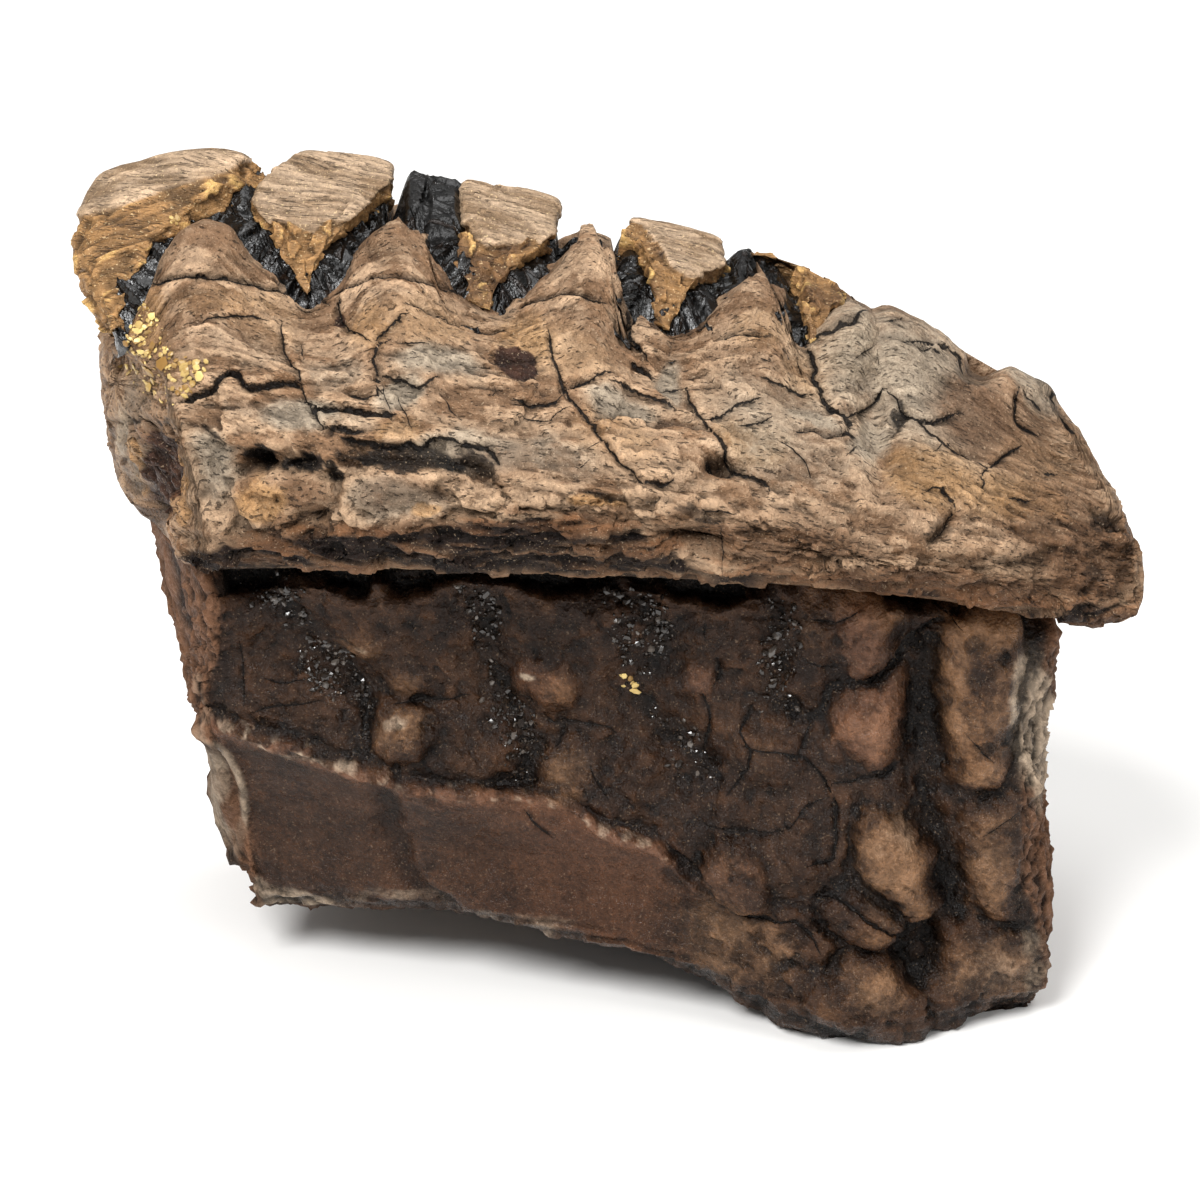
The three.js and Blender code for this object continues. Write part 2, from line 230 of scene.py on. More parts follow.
# %% Colours
def linear(code):
    """sRGB hex to linear light: c/12.92 below 0.04045, else ((c + 0.055)/1.055)^2.4."""
    c = np.array([int(code[i:i + 2], 16) / 255 for i in (1, 3, 5)])
    c = np.where(c <= 0.04045, c / 12.92, ((c + 0.055) / 1.055) ** 2.4)
    return (*c, 1.0)

# %% One function adds a node
def add(tree, kind, inputs=None, out=0, **settings):
    """Adds a shader node and returns one of its outputs, by name or number. inputs maps a
    socket's name or number to a value, or to the output of another node."""
    node = tree.nodes.new("ShaderNode" + kind)
    for name, value in settings.items():
        setattr(node, name, value)
    for name, value in (inputs or {}).items():
        if isinstance(value, bpy.types.NodeSocket):
            tree.links.new(value, node.inputs[name])
        else:
            node.inputs[name].default_value = value
    return node.outputs[out] if node.outputs else node


def new_material(name):
    """An empty material with its principled shader and output."""
    material = bpy.data.materials.new(name)
    material.use_nodes = True
    tree = material.node_tree
    tree.nodes.clear()
    surface = add(tree, "BsdfPrincipled")
    add(tree, "OutputMaterial", {"Surface": surface})
    return material, tree, surface.node

# %% Floor and light
FLOOR_SIZE = 8.0  # metres
ROOM_LIGHT = 0.30
paper, tree, shader = new_material("matt white card")
shader.inputs["Base Color"].default_value = linear("#f3f2f0")
shader.inputs["Roughness"].default_value = 0.9
shader.inputs["Specular IOR Level"].default_value = 0.1

half = FLOOR_SIZE / 2
corners = [(-half, -half, 0), (half, -half, 0), (half, half, 0), (-half, half, 0)]
floor_mesh = bpy.data.meshes.new("floor")
floor_mesh.from_pydata(corners, [], [(0, 1, 2, 3)])
floor_mesh.materials.append(paper)
floor = bpy.data.objects.new("floor", floor_mesh)
bpy.context.scene.collection.objects.link(floor)

world = bpy.data.worlds.new("soft white room")
world.use_nodes = True
world.node_tree.nodes["Background"].inputs["Color"].default_value = linear("#ffffff")
world.node_tree.nodes["Background"].inputs["Strength"].default_value = ROOM_LIGHT
bpy.context.scene.world = world
bpy.context.scene.view_settings.view_transform = "Standard"

SOFTBOXES = {  # place in metres, size in metres, watts
    "key softbox": ((-0.45, -0.70, 1.05), 0.55, 19.0),
    "top softbox": ((0.20, 0.10, 1.30), 1.3, 13.0),
    "side softbox": ((0.90, -0.60, 0.55), 0.4, 3.0),
}
for name, (place, size, watts) in SOFTBOXES.items():
    lamp = bpy.data.lights.new(name, "AREA")
    lamp.shape = "DISK"
    lamp.size = size
    lamp.energy = watts
    softbox = bpy.data.objects.new(name, lamp)
    softbox.location = place
    away = np.array(place) - np.array([0, 0, LOOK_AT[2] * MM])
    flat = np.hypot(away[0], away[1])
    softbox.rotation_euler = (np.arctan2(flat, away[2]), 0, np.arctan2(away[0], -away[1]))
    bpy.context.scene.collection.objects.link(softbox)

# %% [markdown]
# ## Noise
#
# Broken fossil has detail at every size, from lumps a centimetre wide to grain of a quarter
# millimetre. Blender's displacement textures could give it, but then the steps, cracks and
# stains can't follow one another. So noise is worked out here, on whole arrays of points, and
# the same numbers move the surface and colour it.

# %% Noise on whole arrays
HASH_TOP = 2.0**32 - 1
OCTAVE = 2.03  # a little off two, so that the lattices of the octaves don't line up
FAR_CELL = 9.0  # farther than any centre in the cells next to a point
SAW_DROP = 0.12  # the share of a layer over which it drops at its lower edge


def hashed(i, j, k, seed):
    """A number from 0 to 1 for each whole-number place: the three are mixed by odd
    multipliers and shifts."""
    with np.errstate(over="ignore"):
        h = i.astype(np.uint32) * np.uint32(0x8DA6B343)
        h ^= j.astype(np.uint32) * np.uint32(0xD8163841)
        h ^= k.astype(np.uint32) * np.uint32(0xCB1AB31F)
        h += np.uint32((seed * 0x9E3779B1) & 0xFFFFFFFF)
        h ^= h >> np.uint32(15)
        h *= np.uint32(0x2C1B3C6D)
        h ^= h >> np.uint32(12)
        h *= np.uint32(0x297A2D39)
        h ^= h >> np.uint32(15)
    return h / HASH_TOP


def noise(points, size, seed):
    """Value noise from -1 to 1: a hash at each lattice corner, eased between the corners by
    6t^5 - 15t^4 + 10t^3. size is the lattice step in mm, one number or one for each axis."""
    q = points / np.asarray(size, float) + seed * 17.31
    whole = np.floor(q).astype(np.int64)
    t = q - whole
    t = t * t * t * (t * (t * 6 - 15) + 10)
    total = 0.0
    for corner in range(8):
        bits = (corner & 1, corner >> 1 & 1, corner >> 2 & 1)
        weight = 1.0
        for axis, bit in enumerate(bits):
            weight = weight * (t[..., axis] if bit else 1 - t[..., axis])
        total = total + weight * hashed(*(whole[..., axis] + bits[axis] for axis in range(3)), seed)
    return 2 * total - 1


def fbm(points, size, octaves, seed, gain=0.5):
    """Noise summed over octaves, each half the size and gain times the height of the last."""
    total, height, full = 0.0, 1.0, 0.0
    size = np.asarray(size, float)
    for octave in range(octaves):
        total = total + height * noise(points, size, seed + octave)
        full += height
        height *= gain
        size = size / OCTAVE
    return total / full


def ridged(points, size, octaves, seed):
    """Sharp crests: 1 - |noise|, summed as fbm is, from 0 to 1."""
    total, height, full = 0.0, 1.0, 0.0
    size = np.asarray(size, float)
    for octave in range(octaves):
        total = total + height * (1 - np.abs(noise(points, size, seed + octave))) ** 2
        full += height
        height *= 0.5
        size = size / OCTAVE
    return total / full


def plates(points, size, seed, step, tilt):
    """Flat flakes that meet at sharp edges: in each cell the height is a random step and a
    random slope away from the cell's centre, size * tilt at most."""
    q = points / np.asarray(size, float) + seed * 5.77
    whole = np.floor(q).astype(np.int64)
    near = np.full(q.shape[:-1], FAR_CELL)
    height = np.zeros(q.shape[:-1])
    for offset in np.ndindex(3, 3, 3):
        cube = whole + np.array(offset) - 1
        lattice = [cube[..., axis] for axis in range(3)]
        centre = np.stack([hashed(*lattice, seed + 31 * axis) for axis in range(3)], -1) + cube
        away = q - centre
        distance = np.linalg.norm(away, axis=-1)
        slope = np.stack([hashed(*lattice, seed + 211 * (axis + 1)) - 0.5 for axis in range(3)], -1)
        own = step * (hashed(*lattice, seed + 101) - 0.5) + tilt * (away * slope).sum(-1)
        height = np.where(distance < near, own, height)
        near = np.minimum(near, distance)
    return height


def ease(t):
    """Smooth step from 0 to 1: 3t^2 - 2t^3."""
    t = np.clip(t, 0, 1)
    return t * t * (3 - 2 * t)


def bell(t):
    """1 at 0, falling away on both sides: e^(-t^2)."""
    return np.exp(-t**2)


def shingles(level, points, period, seed, wander=0.35):
    """Overlapping layers: the height climbs across each layer and drops at its lower edge,
    like a saw's teeth. Noise moves the edges along and thins them here and there."""
    phase = level / period + wander * fbm(points, (9, 9, 5), 3, seed)
    tooth = phase - np.floor(phase)
    tooth = tooth * ease((1 - tooth) / SAW_DROP)
    return tooth * ease(0.5 + 0.9 * fbm(points, (14, 14, 4), 2, seed + 9))

# %% [markdown]
# ## From a grid of points to a piece
#
# Each surface is a grid: one way along the tooth and one way round it, closed on itself. Two
# end points close it like a sausage's. Steps in the surface come from moving its points along
# their normals. What the finish needs to know, such as how deep a point lies or where a crack
# runs, goes with the mesh as attributes.

# %% Grids
def grid_normals(grid):
    """Outward normals: the cross product of the steps along and round, smoothed over one
    neighbour each way."""
    along = np.gradient(grid, axis=0)
    around = np.roll(grid, -1, 1) - np.roll(grid, 1, 1)
    normal = np.cross(along, around)
    length = np.linalg.norm(normal, axis=-1, keepdims=True)
    normal = normal / np.maximum(length, 1e-9)
    outward = ((grid - grid.mean(1, keepdims=True)) * normal).sum()
    return normal if outward > 0 else -normal


def blurred(field, reach):
    """The field averaged over a window of reach points each way, round the ring and along."""
    for axis, mode in ((0, "edge"), (1, "wrap")):
        pad = [(0, 0)] * field.ndim
        pad[axis] = (reach + 1, reach)
        total = np.cumsum(np.pad(field, pad, mode=mode), axis)
        n = field.shape[axis]
        high = np.take(total, np.arange(2 * reach + 1, 2 * reach + 1 + n), axis)
        low = np.take(total, np.arange(n), axis)
        field = (high - low) / (2 * reach + 1)
    return field


def put_in_scene(name, mesh, material):
    """The mesh as a piece, which rides on the tooth's one body and stands for its node."""
    mesh.materials.append(material)
    piece = bpy.data.objects.new(name, mesh)
    bpy.context.scene.collection.objects.link(piece)
    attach(piece, "root")
    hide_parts(NODE)


def make_piece(name, grid, material, fields):
    """A closed mesh from a grid that wraps round its second axis, with a fan to a pole at
    each end. Fields become attributes: a number or three for each point."""
    rows, around = grid.shape[:2]
    poles = np.stack([grid[0].mean(0), grid[-1].mean(0)])
    points = np.concatenate([grid.reshape(-1, 3), poles])
    i = np.arange(rows - 1)[:, None] * around
    j = np.arange(around)[None]
    k = (j + 1) % around
    quads = np.stack([i + j, i + k, i + around + k, i + around + j], -1).reshape(-1, 4)
    last = (rows - 1) * around
    first_pole, last_pole = rows * around, rows * around + 1
    ends = [np.stack([k[0], j[0], np.full(around, first_pole)], -1),
            np.stack([last + j[0], last + k[0], np.full(around, last_pole)], -1)]
    a, b, c = (points[quads[:, n]] for n in range(3))
    volume = np.einsum("ij,ij->i", np.cross(b - a, c - a), a).sum()
    if volume < 0:
        quads = quads[:, ::-1]
        ends = [end[:, ::-1] for end in ends]
    mesh = bpy.data.meshes.new(name)
    faces = quads.tolist() + ends[0].tolist() + ends[1].tolist()
    mesh.from_pydata((points + SHIFT) * MM, [], faces)
    mesh.shade_smooth()
    for field_name, values in fields.items():
        kind, kept_as = ("FLOAT_VECTOR", "vector") if values.ndim == 3 else ("FLOAT", "value")
        at_poles = [values[row].reshape(around, -1).mean(0)[None] for row in (0, -1)]
        flat = np.concatenate([values.reshape(rows * around, -1)] + at_poles)
        attribute = mesh.attributes.new(field_name, kind, "POINT")
        attribute.data.foreach_set(kept_as, flat.astype(np.float32).ravel())
    put_in_scene(name, mesh, material)
    size = np.ptp(points, axis=0)
    print(f"{name}: {2 * len(quads) + 2 * around} triangles, {size.round(1)} mm")

# %% Rows and columns spaced for the detail they carry
def spaced(edges, counts):
    """Points from edge to edge, with counts[n] even steps in stretch n. Edges may be numbers
    or columns of numbers; the last edge isn't repeated."""
    edges = [np.asarray(edge, float)[..., None] for edge in edges]
    parts = [a + (b - a) * np.arange(n) / n for a, b, n in zip(edges, edges[1:], counts)]
    shape = np.broadcast_shapes(*(part.shape[:-1] for part in parts))
    return np.concatenate([np.broadcast_to(part, shape + part.shape[-1:]) for part in parts], -1)

# %% [markdown]
# ## Placing a feature where it is seen
#
# Cracks, knobs and stains of the broken side are known by where they show. They could be
# painted on, but then they would be flat. Here each is a line, an outline or an oval in the
# upright plane that faces the camera. Every point of a skin is seen on that plane too, so its
# distance to a line or a rim says how much it moves and how it is coloured.

# %% Features placed where they are seen
# What is placed by these is given in flat millimetres, right and up of LOOK_AT.
def facing(normal):
    """1 where the surface faces the camera, easing to 0 where it turns away."""
    return ease(-(normal @ ahead) / 0.25)


def not_behind(normal):
    """1 where the surface faces the camera or shows on the outline, 0 on the back."""
    return ease((0.5 - normal @ ahead) / 0.4)


def in_view(normal):
    """1 where the camera can see the surface, easing to 0 over the part of an end it can't."""
    return ease((0.12 - normal @ ahead) / 0.25)


FAR_LINE = 70.0  # mm, farther than any line that matters


def nearest_line(flat, lines):
    """For each flat point, from the nearest of several broken lines: the step to the point,
    the line's number, 1 or -1 for its left or right side, and how far along it in mm, and
    the same from its other end."""
    away = np.full(flat.shape, FAR_LINE)
    which = np.zeros(flat.shape[:-1], int)
    side, along, left = (np.zeros(flat.shape[:-1]) for _ in range(3))
    for number, line in enumerate(lines):
        line = np.array(line, float)
        lengths = np.linalg.norm(np.diff(line, axis=0), axis=1)
        done = np.concatenate([[0], np.cumsum(lengths)])
        for a, b, length, before in zip(line, line[1:], lengths, done):
            run = (b - a) / length
            q = flat - a
            t = np.clip(q @ run, 0, length)
            step = q - t[..., None] * run
            nearer = (step**2).sum(-1) < (away**2).sum(-1)
            away[nearer] = step[nearer]
            which[nearer] = number
            side[nearer] = np.sign(run[0] * q[..., 1] - run[1] * q[..., 0])[nearer]
            along[nearer] = (before + t)[nearer]
            left[nearer] = (done[-1] - before - t)[nearer]
    return away, which, side, along, left


def line_distance(flat, lines):
    """Distance in mm from flat points to the nearest of several broken lines."""
    return np.linalg.norm(nearest_line(flat, lines)[0], axis=-1)


CRACK_REACH = 0.6  # mm from a crack in which its place is kept
CRACK_TAPER = 1.6  # mm over which a crack thins out towards each end
CRACK_FAR = 12.0  # half widths, for points that no crack is near


def cracked(flat, lines, mask, lip=2.0):
    """Each line has the width of its dark crack, how far its left side stands out over its
    right side, and its points. A crack tapers to its ends. The step from the nearest crack,
    in units of half its width, passes through zero in the middle of the crack, so a crack
    stays thin between far apart points. Returns the step and the shift of the surface."""
    widths, steps, points = zip(*lines)
    away, which, side, along, left = nearest_line(flat, points)
    distance = np.linalg.norm(away, axis=-1)
    taper = ease(np.minimum(along, left) / CRACK_TAPER)
    width = 0.85 * np.array(widths)[which] * (0.35 + 0.65 * taper)
    near = (distance < CRACK_REACH + width) & (mask > 0.3)
    flat_step = np.concatenate([away / (width[..., None] / 2), np.zeros(away.shape[:-1] + (1,))], -1)
    field = np.where(near[..., None], flat_step, (0.0, 0.0, CRACK_FAR))
    step = np.array(steps)[which] * taper
    left_shift = step * np.exp(-distance / lip)
    right_shift = -0.4 * step * np.exp(-distance / (0.5 * lip))
    groove = np.clip(width * 1.6, 0, 1.4) * bell(distance / (0.25 + 0.5 * width))
    return field, (np.where(side > 0, left_shift, right_shift) - groove) * mask


def inside(flat, outline):
    """Distance in mm to a closed outline: above zero inside it, by counting how often a line
    to the left crosses it, and below zero outside."""
    ring = np.array(tuple(outline) + (outline[0],), float)
    x, y = flat[..., 0], flat[..., 1]
    odd = np.zeros(x.shape, bool)
    for (x0, y0), (x1, y1) in zip(ring, ring[1:]):
        if y0 != y1:
            odd ^= ((y0 > y) != (y1 > y)) & (x < x0 + (y - y0) * (x1 - x0) / (y1 - y0))
    return np.where(odd, 1, -1) * line_distance(flat, [ring])


def raised(flat, blocks, moat_share=0.16):
    """Blocks that stand out or lie back. Each has an outline, a height and the width over
    which its edge is rounded by a quarter circle. A shallow moat follows its foot."""
    total = np.zeros(flat.shape[:-1])
    for outline, height, edge in blocks:
        distance = inside(flat, outline)
        t = np.clip(distance / edge, 0, 1)
        moat = bell(np.minimum(distance, 0) / 0.7) * (1 - ease(distance / 0.4))
        total += height * np.sqrt(1 - (1 - t) ** 2) - moat_share * abs(height) * moat
    return total


def oval_radius(flat, centre, radii, turn=0.0):
    """1 on the rim of an oval, 0 in its middle. turn is in degrees, anticlockwise."""
    c, s = np.cos(np.radians(turn)), np.sin(np.radians(turn))
    q = flat - np.array(centre)
    along = (q[..., 0] * c + q[..., 1] * s) / radii[0]
    across = (q[..., 1] * c - q[..., 0] * s) / radii[1]
    return np.hypot(along, across)


def patches(flat, ovals, soft=0.5):
    """A mask of several ovals with soft edges. Each oval is a centre, radii, a turn and a
    strength."""
    mask = np.zeros(flat.shape[:-1])
    for centre, radii, turn, strength in ovals:
        radius = oval_radius(flat, centre, radii, turn)
        mask = np.maximum(mask, strength * ease((1 + soft / 2 - radius) / soft))
    return mask


def swollen(flat, ovals, reach):
    """Broad swells, or hollows where the height is below zero. Each is an oval, given as a
    patch is, and eases away to nothing at reach times its radii."""
    swell = np.zeros(flat.shape[:-1])
    for centre, radii, turn, height in ovals:
        swell = swell + height * ease(reach - oval_radius(flat, centre, radii, turn))
    return swell


def wavered(points, flat, size, reach, seed):
    """Flat points pushed about by noise, so that what is placed by them has rough edges."""
    push = np.stack([fbm(points, size, 3, seed + n) for n in (0, 40)], -1)
    return flat + reach * push


def wavered3(points, size, reach, seed):
    """Points pushed about by noise in all three directions."""
    return points + reach * np.stack([fbm(points, size, 2, seed + 7 * n) for n in range(3)], -1)

# %% [markdown]
# ## The root mass
#
# Under the crown the roots have grown into one dark block. Its broken side is a shallow
# recess full of knobs, with a smooth hollow band below it and a worn lip at the foot. Knobs
# and furrows could be separate lumps joined by a boolean, but then each would have a hard
# seam. Here they push the skin in and out where they are seen from the front.

# %% Places on the roots, in mm right and up of LOOK_AT
ROOT_BLOCKS = (  # outline, how far it stands out, width of its rounded edge
    (((28.2, -12.8), (29, -11.2), (30.8, -10.8), (32.8, -11.1), (35.5, -9.8), (38.5, -8), (39, -11.2),
     (38.5, -16), (37.1, -19.8), (35.5, -21.5), (33.2, -21), (30.8, -19), (29, -16.5)), 2.4, 4),
    (((29.5, -2), (31.2, -0.5), (35, 0.2), (38.2, 0), (39.8, -2.8), (39.2, -6), (36.8, -8.2),
     (33.5, -10.5), (31, -10.2), (30.2, -7.5)), 1.5, 3.5),
    (((41.8, -6.9), (43, -3.2), (45.6, -0.8), (50, 1), (52.8, -1.5), (53.2, -7.5), (52.2, -12.5),
     (51.5, -20), (50, -23.5), (47.2, -24.4), (44, -23), (42.5, -18.1), (41.9, -12.5)), 3.2, 4.5),
    (((31.4, -28.8), (32.1, -26.5), (33.5, -25.4), (36, -26), (38.5, -28.2), (42.2, -30.2), (43, -32.2),
     (42.2, -35), (44.1, -38.6), (41.2, -40.1), (38.9, -40.9), (36, -38.1), (33.2, -35.8),
     (31.5, -32.8)), 3, 3.2),
    (((27.1, -38.2), (29, -36.5), (31.5, -36.1), (34.2, -37.5), (36.6, -39.2), (39, -41), (37.8, -42.6),
     (35.8, -43.6), (32.8, -43.1), (30.2, -42.2), (28.2, -40.8)), 1.9, 2.4),
    (((29.2, -45.2), (30.8, -43.8), (35, -43.8), (37.8, -44.8), (39.8, -47.9), (41, -50.4),
     (40.8, -54.2), (37.5, -55.2), (32.8, -55), (28.8, -53.2), (25.8, -51.2), (25.8, -49), (28, -47.5)),
     2.6, 4),
    (((44.8, -25.8), (48.1, -24.8), (52, -25.2), (52.8, -31.2), (51.8, -40.8), (48.8, -39.8),
     (46.5, -38.2), (45.5, -33.8)), 1.3, 2.5),
    (((42, -41.2), (44, -40.1), (46.9, -39.8), (51.5, -41.5), (55.5, -42.5), (55.8, -48.1), (51.2, -50),
     (45.6, -52), (42.2, -54.5), (40.8, -50), (42.2, -46.9)), 1.6, 2.5),
    (((22, -38.2), (25, -38.5), (27, -39.2), (28, -41.2), (29.5, -43.5), (28.9, -45.4), (25.8, -46),
     (22, -44.8), (19.8, -41.8)), 1.4, 2),
    (((13, -31.2), (15, -29.5), (18.5, -30.2), (20.5, -32.8), (21.2, -37.5), (22.2, -39.2),
     (17.5, -39.2), (14, -37.2), (12.5, -34.5)), 1.5, 2.2),
    (((10, -9), (11.2, -7.6), (13.2, -7.8), (14.8, -9.5), (14.5, -11.8), (12.8, -12.8), (10.6, -11.8)),
     0.9, 1.6),
    (((-26.8, -8), (-25, -7), (-22.8, -7.8), (-21.5, -10.2), (-22.8, -12.2), (-25.5, -12.5),
     (-27, -10.5)), 0.8, 1.8),
    (((-29.4, -15.5), (-27.4, -12.8), (-23.8, -12), (-20.4, -13.6), (-19.6, -17.2), (-22.6, -20.2),
     (-26.8, -20.8), (-29.4, -18.5)), 2.4, 3.4),
    (((-11.5, -9.5), (-10, -7.5), (-7, -6.5), (-4, -7.8), (-2, -10.8), (-3.5, -13.8), (-7.5, -14.5),
     (-10.8, -12.5)), 2, 3.2),
    (((-8.8, -20.2), (-6.5, -17.8), (-2.5, -17), (0.2, -19), (0.8, -23.2), (-1.2, -25.8), (-5.5, -26),
     (-8.2, -24)), 1.4, 3.4),
    (((2.8, -17), (5, -16), (7.8, -18.2), (8, -22.2), (5.8, -24), (3.2, -22)), 0.8, 2.4),
    (((-32, -5), (-30.5, -3.5), (-28, -4.5), (-27, -6.8), (-28.8, -8), (-31.2, -7.2)), 0.7, 1.8),
    (((16.8, -15.8), (20, -14.5), (23.8, -15.5), (25.8, -18.5), (25, -22.5), (21.5, -24), (18, -22)),
     0.8, 2.6),
    (((-21.2, -12.5), (-18.5, -11.2), (-16.2, -14), (-16.2, -18.8), (-18.5, -21.2), (-21, -18.5)), 0.6,
     2.4),
    (((23.2, 3.1), (25, 4), (27.5, 3.5), (27.2, 1.5), (25, 1)), 1.2, 1),
)
GROOVES = (  # where black crystals grew
    ((-45, 2.2), (-42.2, 1.2), (-39.5, -1.5), (-37.9, -4.1), (-35.4, -7), (-32.1, -9.8), (-29.9, -12),
     (-29.2, -15.5)),
    ((-17, 0.8), (-13.5, -0.8), (-13.6, -3.4), (-14.1, -6.9), (-13.4, -10.2), (-11.2, -12.5),
     (-10.2, -15.9), (-8.8, -18.9), (-9.8, -22.4)),
    ((0, 1), (5, -0.8), (8, -5), (7, -8.5), (4.2, -12), (6.2, -14), (8.5, -16), (10.5, -18.5),
     (12.5, -21), (10.5, -23)),
    ((21.8, -0.5), (22.5, -4.5), (23.5, -6.8), (22, -10.5), (20, -12.2), (24.4, -14)),
)
DEEP_FURROW = (  # beside the two big knobs
    (39, -5), (40.2, -7.5), (40.8, -12.5), (40.2, -17.5), (40.5, -23.8), (41.2, -27.5), (43.2, -33.8),
    (44.5, -38.1),
)
SHELF_CREST = (  # where the recess ends and the smooth band begins
    (-50.4, -15.1), (-44.4, -15.9), (-40.4, -17.4), (-35.9, -18.8), (-33, -20.2), (-30, -21.5),
    (-25.2, -22.8), (-20.4, -23.5), (-14.6, -24.1), (-9.9, -24.4), (-4, -25.6), (0.2, -28.4),
    (5.4, -29.8), (8.5, -31.5), (10.5, -33.8), (13.4, -37.1),
)
BAND_STEP = (  # a low step across the band
    (-25, -26.9), (-25.5, -27.8), (-24.1, -29.5), (-22.8, -33), (-21.6, -35.2), (-19, -37),
    (-17, -38.8),
)
CAVE_RIM = (  # the scalloped rim of the dark hollows under the crown
    (-50, 0), (-48.2, -0.2), (-45, 0), (-42.2, 1.2), (-40.9, 2.5), (-36.8, 2.5), (-34, 1.8),
    (-32.1, 0.8), (-30, -0.2), (-29, 1.2), (-28.2, 2.2), (-27.5, 1.2), (-26.5, 0.1), (-24.5, -0.5),
    (-22.1, 0.4), (-19.6, 1.4), (-16.6, 2.9), (-14.2, 2.9), (-12.8, 2.4), (-10.5, 1.6), (-8.8, 0.8),
    (-6.6, 0.2), (-4.8, 0.2), (-2, 0.4), (-0.1, 1.4), (2.5, 2.5), (5.8, 1.9), (9.1, -0.4), (11.8, 0),
    (13.2, -1), (15.9, -1), (18, 0), (20, 1.5), (22, 3.2), (25, 4.2), (28.8, 4), (32.8, 2.8),
    (36.2, 0.5), (39.5, -0.5), (42.5, 1.2), (45, 3.2), (48.8, 4.2), (55, 5),
)
FOOT_CAVES = (  # dark hollows: centre, radii, turn, depth
    ((40, -44.4), (3.2, 4.2), -20, 2.8), ((11, -33.5), (2, 3.2), -55, 0.8),
    ((50, -6.9), (0.8, 1.1), 0, 0.8),
)
PINK_PLACES = (  # where the stone is pinkish
    ((33.2, -15.4), (5, 5.6), 0, 0.9), ((32.2, -5), (3.4, 5), 0, 1), ((-8, -10), (3.4, 3), -20, 0.6),
    ((12.2, -10.2), (2.6, 2.6), 0, 0.7), ((17.5, -35), (5, 5.8), -30, 0.45),
    ((2.5, -31.2), (11.2, 4.2), -22, 0.9), ((-10, -25.8), (10, 2.2), -6, 0.8),
    ((-5, -32.5), (8.8, 3.2), -12, 0.6), ((-22.5, -23.2), (7.5, 1), -6, 0.7),
    ((-47.2, -16.9), (3.5, 1.8), -30, 0.6),
)
TAN_PLACES = (  # where it is tan
    ((43.5, -10), (2, 8.2), 4, 1), ((46.9, -3.1), (3.2, 3.2), 0, 0.8), ((36, -32.5), (5, 7.5), 20, 1),
    ((33.8, -47.5), (4.5, 3.2), 0, 0.8), ((-25, -16), (4.4, 3.4), 20, 0.7),
    ((-29.8, -5.8), (3.2, 2.6), 0, 0.7), ((-24.5, -9.8), (3, 2.8), 0, 0.55),
    ((-4, -21.8), (3.6, 3.6), 20, 0.8), ((16.8, -43), (8, 5.4), -15, 1.2),
    ((48.1, -32.5), (3.4, 7), 0, 0.9), ((49, -46), (6, 4.6), 0, 0.95), ((20, -20), (5, 5), 0, 0.4),
    ((46.8, -21.2), (3.2, 2.5), 0, 0.8), ((50, -18), (6, 22), 2, 0.55), ((24, -4), (4, 5), 0, 0.5),
    ((-46, -23.4), (0.9, 4.6), 12, 1.1),
)
PALE_AND_GLINT_PLACES = (  # where it is pale
    ((53.8, -15.5), (2.6, 9.5), 0, 1.2), ((48.5, -46), (4, 2.6), 10, 0.35),
    # the small dots at (-29.8, -5.6), (-25.2, -15.2) and (-9, -9.2) are painted glints on knobs
    ((36.5, -29.5), (3, 2.6), 20, 0.35), ((-29.8, -5.6), (1.1, 0.8), 0, 0.6),
    ((-25.2, -15.2), (1.5, 0.9), 20, 0.8), ((-9, -9.2), (0.8, 0.5), 0, 1),
    ((54.2, -45), (1.8, 5), 0, 0.5), ((-38, -37.4), (6.8, 1.3), -8, 0.85),
    ((-25, -37), (8.8, 1), -2, 0.45), ((-10, -39.4), (8.8, 1), -10, 0.4),
    ((-37.5, -18.5), (7.5, 0.6), -22, 0.4), ((-47.9, -25), (1.7, 7.2), 14, 1),
)
ROOT_SWELLS = (  # lumps and hollows of the left end: centre, radii, turn, how far it stands out
    ((-47.8, -25.8), (2.4, 5.6), 14, 1.4), ((-51, -15.6), (2.6, 2.6), 0, -1),
    ((-44, -34.6), (2.4, 2.2), 0, -1.2), ((-42.4, -37.8), (2.2, 1.6), 0, 0.6),
)
OVAL_SCAR = ((-47.4, -24.8), (2.6, 7.8), 14)  # a shell-like scar low on the left end
SCAR_EDGE = (  # its raised pale rim
    (-50.4, -9.5), (-50.2, -13), (-49.6, -16.6), (-48.2, -17.6), (-46.6, -18.8), (-45.2, -21),
    (-44.6, -23.4), (-44.5, -26), (-44.6, -28.3), (-45, -30.5), (-45.4, -32.3),
)
FLAKE_RIM = (  # dark rim of a flake beside the scar
    (-50.6, -19), (-49.6, -24), (-47.4, -29), (-45.2, -32.6),
)
